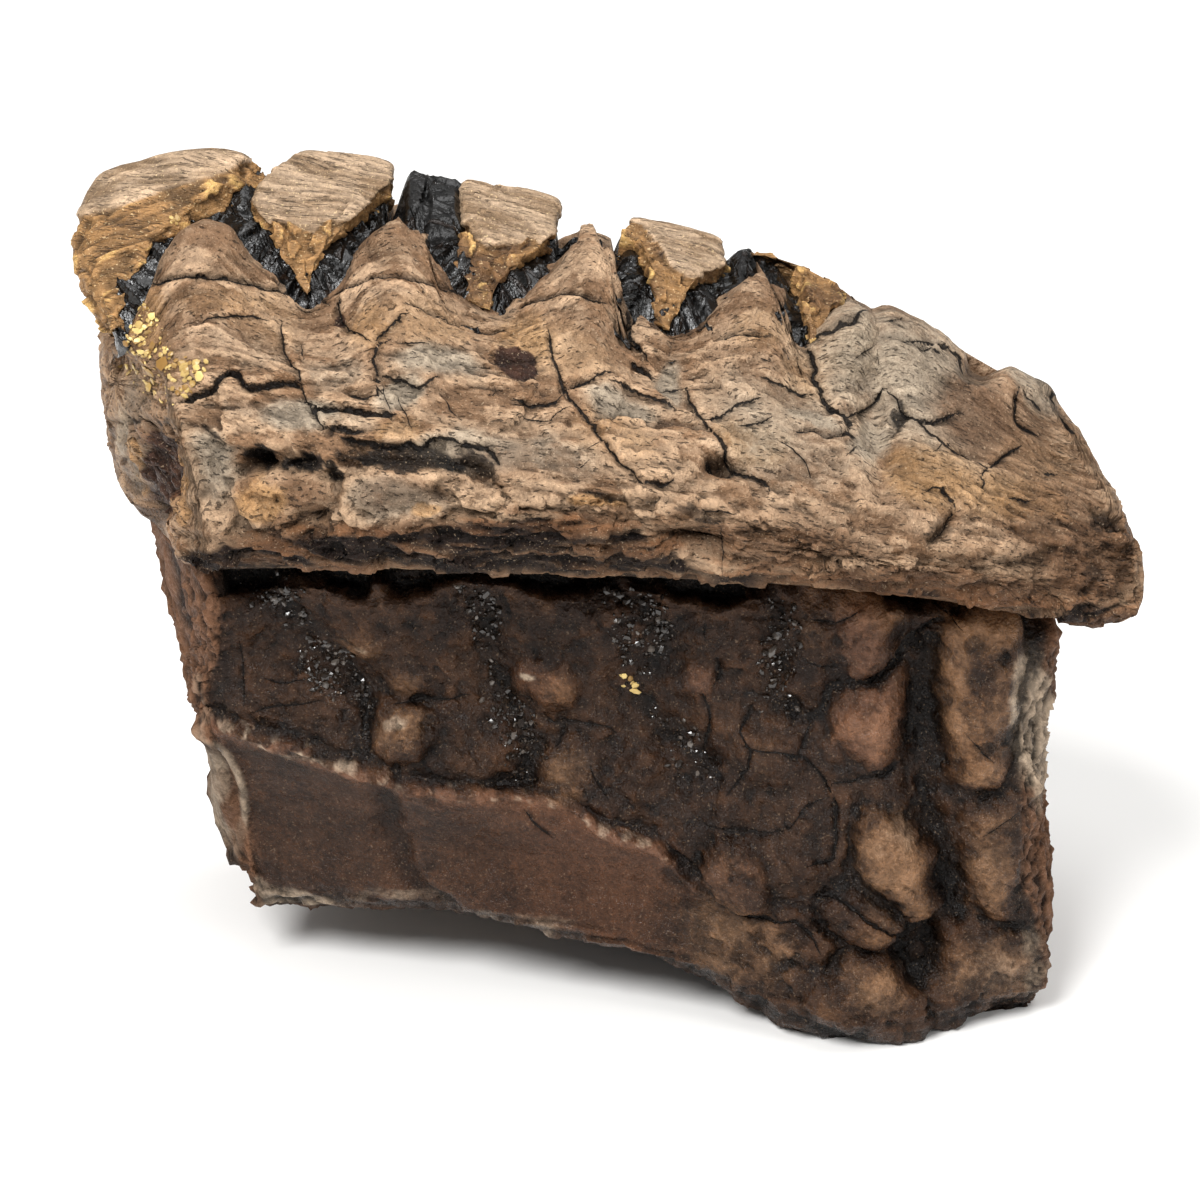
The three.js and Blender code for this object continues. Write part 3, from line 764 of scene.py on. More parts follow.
ROOT_CRACKS = (  # width, how far the left side stands out, line
    (0.4, -0.5, ((47.9, 2.6), (44.8, -0.6), (40.5, -3.5), (39.2, -5.1), (37.6, -7.4), (35.2, -9.4),
     (33.2, -10.6))),
    (0.2, 0.12, ((41.8, 2.2), (42.4, -0.2), (43.8, -2.2), (44.8, -4.1))),
    (0.2, -0.12, ((13.2, -2.2), (13.1, -4.2), (13.2, -5.5))),
    (0.3, 0.12, ((14.5, -7.1), (15.1, -9.6), (14.1, -10.8))),
    (0.3, -0.12, ((12.9, -12), (13.5, -14.5), (13.2, -16.9), (12.5, -19.4))),
    (0.3, 0.12, ((19, -13.6), (17.5, -16.5), (18.6, -18.9), (18.4, -21), (15.9, -24.6))),
    (0.32, 0.2, ((17.5, -18.2), (21.4, -19.1), (25.1, -19.5), (27.5, -21.4), (28.8, -23.8),
     (29.5, -26.2), (29.5, -32.4), (25.9, -33.1))),
    (0.2, 0.12, ((24.6, -20.1), (25.8, -16.9), (26.2, -14.9))),
    (0.3, -0.12, ((29, -23), (31.6, -22.8), (35.6, -21.8), (38.1, -20.5))),
    (0.2, 0.12, ((12.9, -28.2), (15.8, -28.6), (21, -29.2), (23.5, -28.5), (25.9, -25.9),
     (28.8, -24.6))),
    (0.2, -0.12, ((23, -27), (22.6, -29.1))),
    (0.2, 0.12, ((47.5, -29.1), (49.1, -27.9), (51.5, -27), (52.4, -25.9))),
    (0.2, -0.12, ((45.4, -16.1), (47.5, -18.5), (48.6, -19.4))),
    (0.4, -0.3, ((26.2, -37.2), (29.5, -37), (32.4, -38.9), (35.6, -40.9), (38.1, -41.9))),
    (0.3, -0.12, ((17, -39.5), (21, -39.9), (24.6, -40), (26.8, -42.1), (27.5, -44.1))),
    (0.2, 0.12, ((-5, -15.2), (-3, -15.6), (1.5, -16.1), (2.4, -16.9))),
    (0.2, -0.12, ((-1.4, -20.1), (-0.5, -22.6), (1.1, -25))),
    (0.2, 0.12, ((8, -30.2), (10.5, -32.4), (12.9, -34.8), (14.1, -35.6))),
    (0.2, -0.12, ((25.5, -8.1), (27.5, -8.5), (30, -9))),
    (0.2, 0.12, ((26.1, -2.6), (29.5, -2.9), (32.8, -1.2))),
    (0.2, -0.12, ((-44, -14.1), (-40, -13.6), (-37.5, -13.1), (-35.1, -12.8))),
    (0.2, 0.12, ((-45.1, -5.5), (-44.9, -7.6), (-44.8, -10.4), (-44.6, -13.4))),
    (0.2, -0.12, ((-25.9, -12.8), (-22.5, -12.4), (-18.8, -12.2), (-16.2, -12))),
    (0.2, 0.12, ((-29.4, -16.1), (-29, -18.5), (-30, -21))),
    (0.2, -0.12, ((-42.4, -10), (-39.6, -10.6), (-36.9, -10.6))),
    (0.2, 0.12, ((-4, -15.5), (-5, -17.9), (-6, -18.9))),
    (0.2, -0.12, ((-9.8, -26.1), (-8.1, -28.1), (-5.6, -29.9))),
)

# %% The root surface
def push(grid, amount):
    """The grid moved along its own normals."""
    return grid + grid_normals(grid) * amount[..., None]


FIRST_P, LAST_P = -0.985, 1.985  # the rows start and end just short of the poles
root_p = spaced([FIRST_P, 0, 1, LAST_P], [40, 292, 46])
root_v = spaced(
    [root.rail(name) for name in ("core, front", "recess, top", "lip", "sole, middle", "back, foot",
                                  "back, middle", "core, back")] + [root.round],
    [8, 150, 32, 16, 36, 4, 4])
base = root.at(root_p[:, None], root_v[None])
flat = seen(base)
normal = grid_normals(base)
front = facing(normal)
shown = not_behind(normal)
place = wavered(base, flat, 4, 0.55, 11)
right, up = np.moveaxis(place, -1, 0)

lift = raised(place, [(outline, height, 1.6 * edge) for outline, height, edge in ROOT_BLOCKS], 0.10)
groove = line_distance(place, GROOVES)
lift -= 1.7 * bell(groove / 4.2) + 0.5 * bell(groove / 1.5)
furrow = line_distance(place, [DEEP_FURROW])
lift -= 2.6 * bell(furrow / 2.8)
cave_above = up - np.interp(right, *np.array(CAVE_RIM).T)
cave = ease(cave_above / 0.6 + 0.4) * ease((flat[..., 0] + 50.5) / 3)
lift -= 3.2 * cave
hollow = np.zeros_like(lift)
for centre, radii, turn, depth in FOOT_CAVES:
    radius = oval_radius(place, centre, radii, turn)
    lift -= depth * ease((1.25 - radius) / 0.5)
    hollow = np.maximum(hollow, ease((1.2 - radius) / 0.8))

# %% The shelf, the smooth band and the scar
crest = np.array(SHELF_CREST)
under = np.interp(right, *crest.T) - up
reach = ease((15 - right) / 7)
lift += reach * 1.7 * ease((under + 0.5) / 0.8) * np.exp(-np.clip(under, 0, None) / 1.5)
lift -= reach * 0.9 * ease(-under / 0.8) * np.exp(-np.clip(-under, 0, None) / 6)
band = reach * ease(under / 1.2) * ease((root.rail("lip") - root_v + 2) / 4)[None]
step = np.array(BAND_STEP)
right_of = right - np.interp(-up, -step[:, 1], step[:, 0])
lift += band * 0.8 * ease(right_of / 0.5) * ease((8 - right_of) / 8 + 0.4)
lift -= band * 0.7 * bell((right_of + 1.8) / 1.6)
lift += (0.9 * fbm(base, 9, 2, 15) + 0.5 * fbm(base, 5, 2, 17)) * (1 - 0.7 * band)
lift += 0.5 * plates(wavered3(base, 5, 1.2, 19), (6, 6, 6), 21, 1.0, 1.0) * (1 - 0.8 * band)
lift = blurred(lift, 1)
swell = swollen(flat, ROOT_SWELLS, 1.3)
scar_edge = bell(line_distance(wavered(base, flat, 3, 0.3, 23), [SCAR_EDGE]) / 0.55)
scar = ease((1.1 - oval_radius(flat, *OVAL_SCAR)) / 0.25)
swell = swell + 0.6 * scar_edge - 0.3 * scar
coarse = push(base, lift * front + swell * shown)

# %% Grain, flakes and cracks of the roots
back = 1 - front
crack, crack_shift = cracked(wavered(base, flat, 2.2, 0.4, 31), ROOT_CRACKS, front)
ribs = fbm(coarse * (1, 1, 0.25), (7, 7, 7), 3, 41)
is_foot = (root_v >= root.rail("lip") - 1.5) & (root_v <= root.rail("back, foot"))
foot = blurred(is_foot[None] * np.ones_like(lift), 5)
flakes = shingles(coarse[..., 2], coarse, 1.7, 51, 0.8)
ends = np.maximum(ease((0.03 - root_p) * 16), ease((root_p - 1.02) * 9))
ends = ends[:, None] * np.ones_like(lift)
edge_flakes = shingles(coarse[..., 0] + 0.25 * coarse[..., 2], coarse[..., [0, 2, 1]], 1.5, 61, 0.9)
splinters = fbm(coarse, (1.6, 1.6, 9), 3, 61)
chips = plates(wavered3(coarse, 2.5, 0.5, 63), (2.8, 2.8, 2.8), 65, 0.5, 1.2)
small_chips = plates(coarse, (1.2, 1.2, 1.2), 67, 0.3, 1.1)
calm = 1 - 0.75 * band
rough_ends = ends * (1 - np.maximum(0.85 * scar, 0.6 * foot) * shown)
fine = (  # mm that the skin moves out: the back's ribs, chips, the foot's flakes, the ends, the crest
    back * ribs
    + 0.45 * chips * calm
    + 0.3 * small_chips * calm
    + 0.20 * fbm(coarse, 1.7, 3, 71) * calm
    + foot * (0.75 * flakes + 0.3 * chips)
    + rough_ends * (0.5 * splinters + 0.55 * edge_flakes + 0.5 * chips + 0.4 * small_chips)
    + 0.6 * fbm(coarse * (0.5, 1, 1), 1.5, 3, 73) * bell((under - 0.3) / 1.3) * reach
    + crack_shift
)
root_grid = push(coarse, fine)
root_grid[..., 2] = np.maximum(root_grid[..., 2], 0.0)
root_relief = fine - blurred(fine, 4) + 0.4 * (lift - blurred(lift, 8)) * front
root_relief *= 1 - 0.6 * ends * back
print("root relief, mm:", np.percentile(root_relief, [1, 99]).round(2))

# %% [markdown]
# ## Stains of the roots
#
# Iron and handling stained the block: knobs are rubbed pink and tan, the grooves hold black
# crystal sand, and the crest and the scar are pale. Painted shade darkens the caves, hollows,
# the deep furrow and the band under the crest, the tops of knobs get painted highlight over
# their wear, and three small pale dots are painted glints. Masks could be painted by hand.
# Here each is a number for every point, made from the shape itself and from a few soft-edged
# places.

# %% Where the roots are stained
stained = wavered(base, flat, 5, 1.6, 75)
standing = lift - blurred(lift, 16)
crest_line = bell((under - 0.3) / 0.8) * reach * ease(0.7 + 1.3 * fbm(base, 2.2, 3, 77))
crest_flecks = 0.55 * bell((under - 0.1) / 0.9) * reach
crest_flecks *= ease(2 * fbm(base * (0.6, 1, 1), 0.8, 2, 85) + 0.2)
crested = (0.65 + 0.35 * blurred(ease((standing + 0.4) / 2.5), 3)) * front
speckled = 0.6 + 0.4 * ease(0.5 + 1.6 * fbm(base, 2.2, 3, 83))
band_colour = ease(under / 1.2) * np.clip((17 - stained[..., 0]) / 14, 0, 1)
band_colour *= ease((root.rail("lip") - root_v + 2) / 4)[None]
paleness = patches(stained, PALE_AND_GLINT_PLACES, 0.9) * speckled * in_view(normal)
light_edge = np.maximum(paleness, 0.95 * scar_edge * shown)
flake_rim = bell(line_distance(flat, [FLAKE_RIM]) / 0.5) * shown
# painted shade in the caves, the foot caves, the deep furrow, low ground and under the crest, with the
# black crystal sand of the grooves
crystals_and_hollow_shade = (
    np.maximum(0.9 * cave, 0.45 * hollow)
    + 0.6 * bell(groove / 1.9)
    + 0.22 * bell(furrow / 1.7)
    + 0.18 * ease((-standing - 0.8) / 2.0)
    + 0.4 * bell((under - 2.8) / 1.2) * reach * ease((-10 - right) / 20)
)
root_fields = {
    "relief": root_relief,
    "crack": crack,
    # worn: the tops of knobs lightened, rubbed wear with painted highlight
    "worn": blurred(ease((standing - 0.2) / 2.8), 3) * front * (1 - 0.6 * band),
    "pink": np.maximum(patches(stained, PINK_PLACES, 1.5) * crested, 0.95 * crest_line * front),
    "tan": patches(stained, TAN_PLACES, 1.4) * crested * speckled,
    "pale": np.clip(light_edge + crest_flecks * front + foot * 0.2 * flakes * front, 0, 1),
    "rust": np.clip(ends * (1 - 0.9 * paleness) * (0.55 + 0.45 * speckled), 0, 1),
    "dull": np.clip(ends + back, 0, 1),
    "rind": back * (1 - ends) * ease((base[..., 1] + 8) / 10),
    # black: mostly painted shade from the hollows, with a dark flake rim
    "black": flake_rim + np.clip(crystals_and_hollow_shade, 0, 1) * front,
    "band": band_colour * front * np.clip(0.75 + stained[..., 0] / 60, 0.4, 0.75),
    "tint": plates(wavered3(coarse, 4, 0.9, 79), (6, 6, 6), 81, 1.0, 0.0),
    "grain": coarse[..., [0, 2, 1]],
}
print("root fields:", ", ".join(root_fields))

# %% [markdown]
# ## The crown's dentine
#
# Dentine grew in thin layers, one arch over each plate of the tooth. Where it broke, each
# layer ends in a small step. Displacing by plain noise would lose these arches, so a growth
# depth is worked out first: how far down the side a point lies, less the height of the arch
# above it. Steps, pits and streaks then all follow that one number.

# %% The edge where dentine meets enamel
DENTINE_RIDGE = (  # x and height of the dentine's upper edge on the broken side
    (-57.6, 87.3), (-56.9, 88.3), (-56.4, 89), (-55.8, 89.9), (-54.3, 91.3), (-53.4, 92.6),
    (-52.8, 94.1), (-52.2, 95.3), (-51.2, 96.4), (-50.2, 97.6), (-49, 98.5), (-47.1, 99.3),
    (-44.8, 98.7), (-43.7, 97.4), (-42.1, 96), (-40.3, 95), (-38.9, 94.4), (-37.6, 93.1), (-36.4, 92.3),
    (-34.9, 91.4), (-32.9, 92.5), (-31.7, 93.1), (-30.9, 93.9), (-30, 95.4), (-29.8, 96.3),
    (-28.2, 97.7), (-26.5, 98.9), (-24.6, 99.7), (-23.7, 98.5), (-21.4, 97.9), (-21.3, 96.8),
    (-20.8, 95.4), (-19.1, 94), (-18.4, 92.9), (-16.9, 92), (-15.3, 91.1), (-13.5, 90.5), (-12.3, 90.2),
    (-10.7, 91.2), (-9.5, 92.2), (-8.1, 93.3), (-6.5, 94.3), (-4.9, 95.7), (-3.7, 96.6), (-3.5, 97.1),
    (-2.5, 97), (-1.2, 96.7), (-0.3, 96.3), (0.3, 95.8), (0.4, 94.8), (0.6, 93.2), (1.1, 91.6),
    (1.2, 90.5), (2.2, 89.2), (3.8, 89.4), (5, 89.2), (7.2, 87.9), (9.5, 88.1), (10.6, 88.8),
    (11.9, 89.7), (14, 90.9), (15.7, 91.9), (17.3, 92.4), (18.2, 92.2), (19.3, 91.9), (20.8, 91.2),
    (21, 90.3), (21.1, 89.1), (21.3, 87.6), (21.5, 86.2), (23, 85.3), (24, 86.2), (26.5, 87),
    (29.4, 88.2),
)
FOLDS_END = 29.4
ridge_line = sorted(((-75, 78.0), (-60, 85.0)) + DENTINE_RIDGE + ((31.5, 96), (90, 130)))
ridge_x, ridge_z = np.array(ridge_line).T
BACK_DROP = 6.0


def ridge_height(x):
    """The height of the dentine's edge at x, straight between its corners."""
    return np.interp(x, ridge_x, ridge_z)


def back_height(x):
    """On the back the dentine ends lower down, and the enamel covers more."""
    return ridge_height(x) - BACK_DROP * ease((FOLDS_END - x) / 6)


def arch_height(x):
    """The ridge less its own running mean: one arch for each plate of the tooth."""
    steps = np.arange(-75, 75, 0.5)
    heights = np.interp(steps, *np.array(DENTINE_RIDGE + ((35, 86.5), (52, 74.8))).T)
    narrow = bell(np.linspace(-2, 2, 17))
    wide = bell(np.linspace(-2, 2, 97))
    narrow_mean, wide_mean = (
        np.convolve(np.pad(heights, len(weights) // 2, mode="edge"), weights / weights.sum(), "valid")
        for weights in (narrow, wide))
    return np.interp(x, steps, narrow_mean - wide_mean)


def crossings(body, p, height_at, v_low, v_high, steps=260):
    """For each p, the v nearest v_low where the skin dips below a height that depends on x,
    going from v_high, where it is above. Where it never is above, v_high."""
    t = np.linspace(0, 1, steps)
    v = v_high + (v_low - v_high) * t
    points = body.at(p[:, None], v[None])
    over = points[..., 2] - height_at(points[..., 0])
    above = over > 0
    last = np.where(above.any(1), steps - 1 - np.argmax(above[:, ::-1], 1), 0)
    last = np.minimum(last, steps - 2)
    rows = np.arange(len(p))
    a, b = over[rows, last], over[rows, last + 1]
    t_cross = np.where(above.any(1), t[last] + (t[1] - t[0]) * a / np.where(a - b == 0, 1, a - b), 0)
    return v_high + (v_low - v_high) * np.clip(t_cross, 0, 1)


CREST_V = crown.rail("chewing face, back") + 1.0
NECK_V = crown.rail("neck, front")
BACK_V = crown.rail("neck, back")
crown_p = spaced([FIRST_P, 0, 1, LAST_P], [56, 330, 34])
front_v = crossings(crown, crown_p, ridge_height, NECK_V, CREST_V)
back_v = crossings(crown, crown_p, back_height, BACK_V, CREST_V + crown.round)
print("dentine starts, mm round:", front_v.min().round(1), front_v.max().round(1))

# %% The crown surface
TOP_ROWS = 30  # under the enamel and the wedges
LEDGE_V = crown.rail("ledge, nose")
FOLDS_V = np.maximum(front_v + 0.6, crown.rail("foot of the folds") + 2.5)
even_rails = [np.full_like(front_v, v)
              for v in (crown.rail("ledge, upper edge"), LEDGE_V + 4, NECK_V, BACK_V)]
ring_v = spaced([front_v, FOLDS_V, *even_rails, back_v, front_v + crown.round],
                [36, 52, 46, 18, 6, 38, TOP_ROWS])
base = crown.at(np.broadcast_to(crown_p[:, None], ring_v.shape), ring_v)

x, y, z = np.moveaxis(base, -1, 0)  # views: what is written to them moves the points
row = np.arange(ring_v.shape[1])[None]
is_top = row >= ring_v.shape[1] - TOP_ROWS
drop = BACK_DROP * ease((y + 8) / 9) * ease((FOLDS_END - x) / 6)
covered = ridge_height(x) - drop
z[...] = np.where(is_top, np.minimum(z, covered), z)
x += 3.4 * ease((-50 - x) / 6) * bell((z - 82) / 5)
z -= 2.6 * bell((x - 31.0) / 2.2) * ease((z - 70) / 10)

# %% Places on the crown, in mm right and up of LOOK_AT
SWELLS = (  # lumps and hollows: centre, radii, turn, how far it stands out
    ((34.5, 31), (8.5, 5.5), -25, 1.3), ((53, 28), (4.5, 4.5), -45, 1.3),
    ((47.6, 29), (2.4, 2.6), -50, -1.7), ((-55.6, 16), (2.2, 6.4), 4, -2),
    ((11.5, 7), (4.4, 2.6), -10, -2.2), ((-43.5, 16.4), (3, 1.6), 0, -1.6),
    ((16.6, 16.6), (2.4, 1.3), -20, -1.2),
)
CROWN_CRACKS = (  # width, how far the left side stands out, line
    (0.34, -0.45, ((-56.5, 39.2), (-55, 39.5), (-53, 40), (-51.4, 40.2), (-50.4, 40.1), (-47.2, 40),
     (-44.4, 39.4), (-41.6, 38.8), (-39.6, 38.6), (-38, 38), (-36.8, 36.8))),
    (0.3, -0.4, ((-34.2, 37.8), (-32.8, 38.5), (-30.8, 39.1), (-28, 40), (-26, 40.1), (-22.9, 39.6),
     (-19.6, 39), (-17.8, 38.4), (-16.2, 37.5))),
    (0.36, -0.45, ((-10, 36.4), (-7.4, 37.4), (-4.8, 38), (-3, 37.9), (-0.9, 37.4), (0.8, 36.8))),
    (0.22, -0.3, ((14, 32.2), (15, 32.5), (16.9, 33.2), (19.2, 33.1), (21, 32.8))),
    (0.24, 0.25, ((-50.8, 34.1), (-49, 34.9), (-47.2, 34.9), (-45.5, 35.4), (-43.2, 35.4),
     (-41.8, 34.9))),
    (0.26, 0.3, ((-40, 35.2), (-39.9, 33.6), (-39.5, 31.4), (-38.5, 29.4), (-37.6, 28.4), (-37.2, 26.6),
     (-36.8, 24.9), (-35.5, 23.2), (-34.6, 21.1))),
    (0.2, 0.15, ((-37.6, 32.2), (-37.4, 31), (-37.2, 29.8))),
    (0.75, 0.5, ((-52.5, 24.8), (-50.8, 25.6), (-48.2, 26.5), (-47.4, 27.6), (-46.1, 28.1), (-45, 27.9),
     (-44.4, 26.6), (-43, 26.1), (-40.9, 26.9), (-39.4, 27.1), (-37.9, 27), (-37.1, 26.1))),
    (0.55, 0.45, ((-37, 24.8), (-35.5, 24), (-33.8, 24), (-31.9, 24.2), (-29.2, 23.6), (-26.8, 23.5),
     (-25.5, 23.4))),
    (0.34, 0.25, ((-31.9, 26), (-29.8, 25.5), (-28, 25.6), (-27.9, 27.5), (-27.9, 28.8), (-28.4, 30.1),
     (-27.5, 31.8), (-26.2, 32.5))),
    (0.65, 0.4, ((-34.9, 21.4), (-32.8, 21.5), (-30.6, 21.2), (-29.8, 21.1))),
    (0.5, 0.3, ((-32.5, 19.9), (-29.2, 19.6), (-25.1, 19.1), (-23.8, 19.6), (-22.8, 19.1), (-21, 19.9),
     (-18.9, 20.1), (-17.5, 19.2), (-14.2, 19.2), (-13.4, 18.4), (-12.5, 16.8))),
    (0.2, -0.25, ((-24.5, 36.9), (-22.8, 36.4), (-21, 35.6), (-19.2, 35.4))),
    (0.18, -0.15, ((-20.6, 37), (-19.6, 36.8), (-18.5, 36.4))),
    (0.22, 0.3, ((-28, 31.9), (-27.5, 33), (-26.2, 34.2), (-25.1, 35.1), (-23.8, 35.8))),
    (0.28, -0.3, ((-20.1, 34.9), (-17.5, 34.6), (-15.5, 33.9), (-14, 33.6), (-12, 34), (-11.5, 33.6))),
    (0.18, 0.2, ((-25.5, 31.8), (-24.2, 32), (-22.8, 32), (-21.2, 31.8))),
    (0.32, 0.35, ((-27.6, 28.2), (-26.5, 28), (-25.1, 27.8), (-23.8, 27), (-22.4, 26.5), (-21, 27.2),
     (-20, 27.8))),
    (0.24, 0.3, ((-14.5, 25.4), (-13.5, 25.4), (-13, 26), (-13.4, 26.8))),
    (0.24, 0.2, ((-11.2, 25.2), (-9.2, 24.6), (-7.9, 24.5), (-5.6, 24.9), (-4.4, 25.9))),
    (0.16, 0.15, ((-11.4, 23.1), (-10, 22.9), (-8.8, 22.6), (-6.1, 22.6), (-5.5, 23.4), (-3.4, 24.2))),
    (0.14, 0, ((-27.6, 27.8), (-26.8, 24.9), (-25.8, 22.1))),
    (0.14, 0, ((-25.8, 26), (-24.5, 23.9), (-23.4, 20.9))),
    (0.14, 0, ((-20.2, 26), (-18.9, 24.2), (-17.2, 22.1))),
    (0.22, 0.35, ((2, 36.2), (3.9, 34.2), (4, 33), (5.8, 31), (6.5, 29.8))),
    (0.85, 0.3, ((4.2, 30.1), (5.2, 29.5), (6.4, 28.8), (6.8, 28))),
    (0.3, 0.2, ((-6.6, 33.8), (-6.2, 31.4), (-5.8, 29.6), (-4.9, 27.9), (-4.4, 26.2), (-3, 24.4),
     (-1.4, 22.2), (0.4, 19.8), (2.2, 17.4), (3.9, 16), (5.2, 14.5))),
    (0.24, 0.3, ((-4.2, 26.4), (-3, 26.8), (-1.2, 27.4), (-0.2, 27.9), (0.9, 28.2), (2, 28.2))),
    (0.24, 0.5, ((1.5, 27.4), (4, 26.2), (5.8, 25.6), (7.5, 25.1), (9.6, 24))),
    (0.22, -0.5, ((-0.9, 21.9), (0.2, 22.4), (1.4, 22.6), (3.1, 22.8), (4.9, 22.6), (6.9, 21.6),
     (9.2, 21.9), (11.6, 21.2), (14, 20.9))),
    (0.36, 0.3, ((10.9, 26.8), (11.2, 25.1), (12.5, 23.4), (13.5, 21.9), (15.8, 19.2), (16.1, 17.9),
     (16.9, 16.9), (18.9, 16), (20.9, 15.2), (21.8, 13.8))),
    (0.28, 0.35, ((12.6, 23), (14, 22.9), (15.1, 23.1), (16.2, 23.8), (17.1, 24.6), (19.2, 25),
     (20.2, 25.2))),
    (0.22, 0.3, ((5.5, 19.6), (6.1, 19.2), (6.8, 19.6))),
    (0.22, 0.3, ((-3.2, 16.9), (-2.4, 16.5), (-1.4, 17.4))),
    (0.2, 0.25, ((-1.6, 18.6), (-0.5, 19.1), (0.4, 19.6))),
    (0.6, 0.55, ((5, 14.5), (6.5, 14.8), (7.8, 14.5), (9.2, 14.8))),
    (0.24, 0.2, ((17.1, 22), (18.2, 21.9), (19.4, 22.1), (20.6, 22.6), (21.8, 22.9))),
    (0.48, 0.25, ((25.6, 31.8), (26.4, 30.6), (27.2, 29), (26.8, 28.2), (27.4, 27.5), (27.9, 26.5),
     (27.4, 26.1), (28.8, 24.4), (30.6, 23.2), (31.5, 21.9), (31.2, 21.1), (32.2, 20.2))),
    (0.36, 0.35, ((30.6, 23.1), (32.2, 23.2), (33.4, 24.2), (35.1, 25.1), (35.6, 26.1))),
    (0.46, 0.45, ((31.5, 21.4), (30.2, 20.6), (28, 20.2), (26.5, 21), (24.6, 21.1))),
    (0.22, 0.25, ((19.6, 28), (21.2, 27.6), (22.8, 27.1), (24, 26.6), (25.4, 26), (27.2, 25.9))),
    (0.3, 0.25, ((32, 19.2), (31.2, 18.2), (30.5, 17.5))),
    (0.24, 0.1, ((36.1, 26.2), (37.5, 24.1), (38.9, 22.8), (39.9, 21.8), (42.5, 19.5), (44.9, 18.1),
     (46.5, 17.5), (48.2, 16.1), (47.2, 15), (48.2, 13.4))),
    (0.4, 0.4, ((48.2, 16.1), (49.5, 17.1), (51, 18.1), (52.9, 19.4))),
    (0.34, 0.5, ((38.9, 22.5), (40.2, 22), (41.8, 22.1), (43.8, 22.8), (45, 23))),
    (0.3, 0.35, ((35.6, 33.6), (36.6, 34.1), (37.6, 34.5))),
    (0.22, 0.3, ((37.4, 31.8), (39.9, 32.1), (41.8, 31.9), (43.5, 31.4), (44.9, 30.9), (46.5, 29.2))),
    (0.24, 0.25, ((39.5, 31), (41.5, 31), (43.2, 30.2))),
    (0.26, 0.3, ((20, 30.4), (20.8, 30), (21.5, 29.8))),
    (0.3, -0.2, ((25.6, 31.8), (26.5, 32.4), (28.4, 33), (30.6, 34), (32.2, 35))),
    (0.34, 0.2, ((51.9, 26.4), (51.9, 24.6), (51.9, 22.9), (52.5, 21.8), (54.9, 20.4))),
    (0.26, 0.35, ((51.5, 28.9), (53, 28.2), (54.5, 27.5))),
    (0.26, 0.3, ((54.5, 27), (56.2, 25.8), (57.4, 24.5))),
    (0.3, 0.3, ((57.8, 23.8), (58.8, 22), (59.9, 20))),
    (0.2, 0.25, ((52.5, 25.5), (54.2, 24.8), (55.8, 23.5))),
    (0.24, 0.3, ((40, 12.9), (41.5, 13.8), (42.5, 13.8), (44.1, 12), (44.5, 10.8))),
    (0.26, 0.3, ((31, 29.5), (31.9, 30.5), (33.2, 31.2))),
    (0.2, 0.2, ((41.4, 18.1), (42.5, 19.1), (44, 19.2))),
    (0.22, 0.3, ((50.5, 12.8), (51.8, 12.5), (53.2, 12.1), (54.2, 12.4))),
    (0.22, 0.25, ((55, 16.2), (56.2, 15.8), (57.5, 15.8))),
    (0.2, 0.25, ((12.5, 11.5), (15, 11), (17.5, 10.8))),
    (0.16, 0, ((15, 9.2), (15.1, 6.9), (15.2, 3.6))),
    (0.2, 0.2, ((44.1, 11.8), (43.6, 9.2), (42.2, 7.8))),
    (0.2, 0.3, ((-32.8, 38.4), (-32.4, 35.2), (-31.2, 33.8), (-29.8, 33.2), (-28, 31.9))),
    (0.26, -0.3, ((-35.5, 38.8), (-34.8, 37.5), (-33.8, 37))),
    (0.18, 0.25, ((7.5, 26.9), (9, 27.1), (10.8, 26.9))),
    (0.16, 0.15, ((22, 20), (23.8, 19.4), (25.8, 17.2), (26.5, 15))),
)
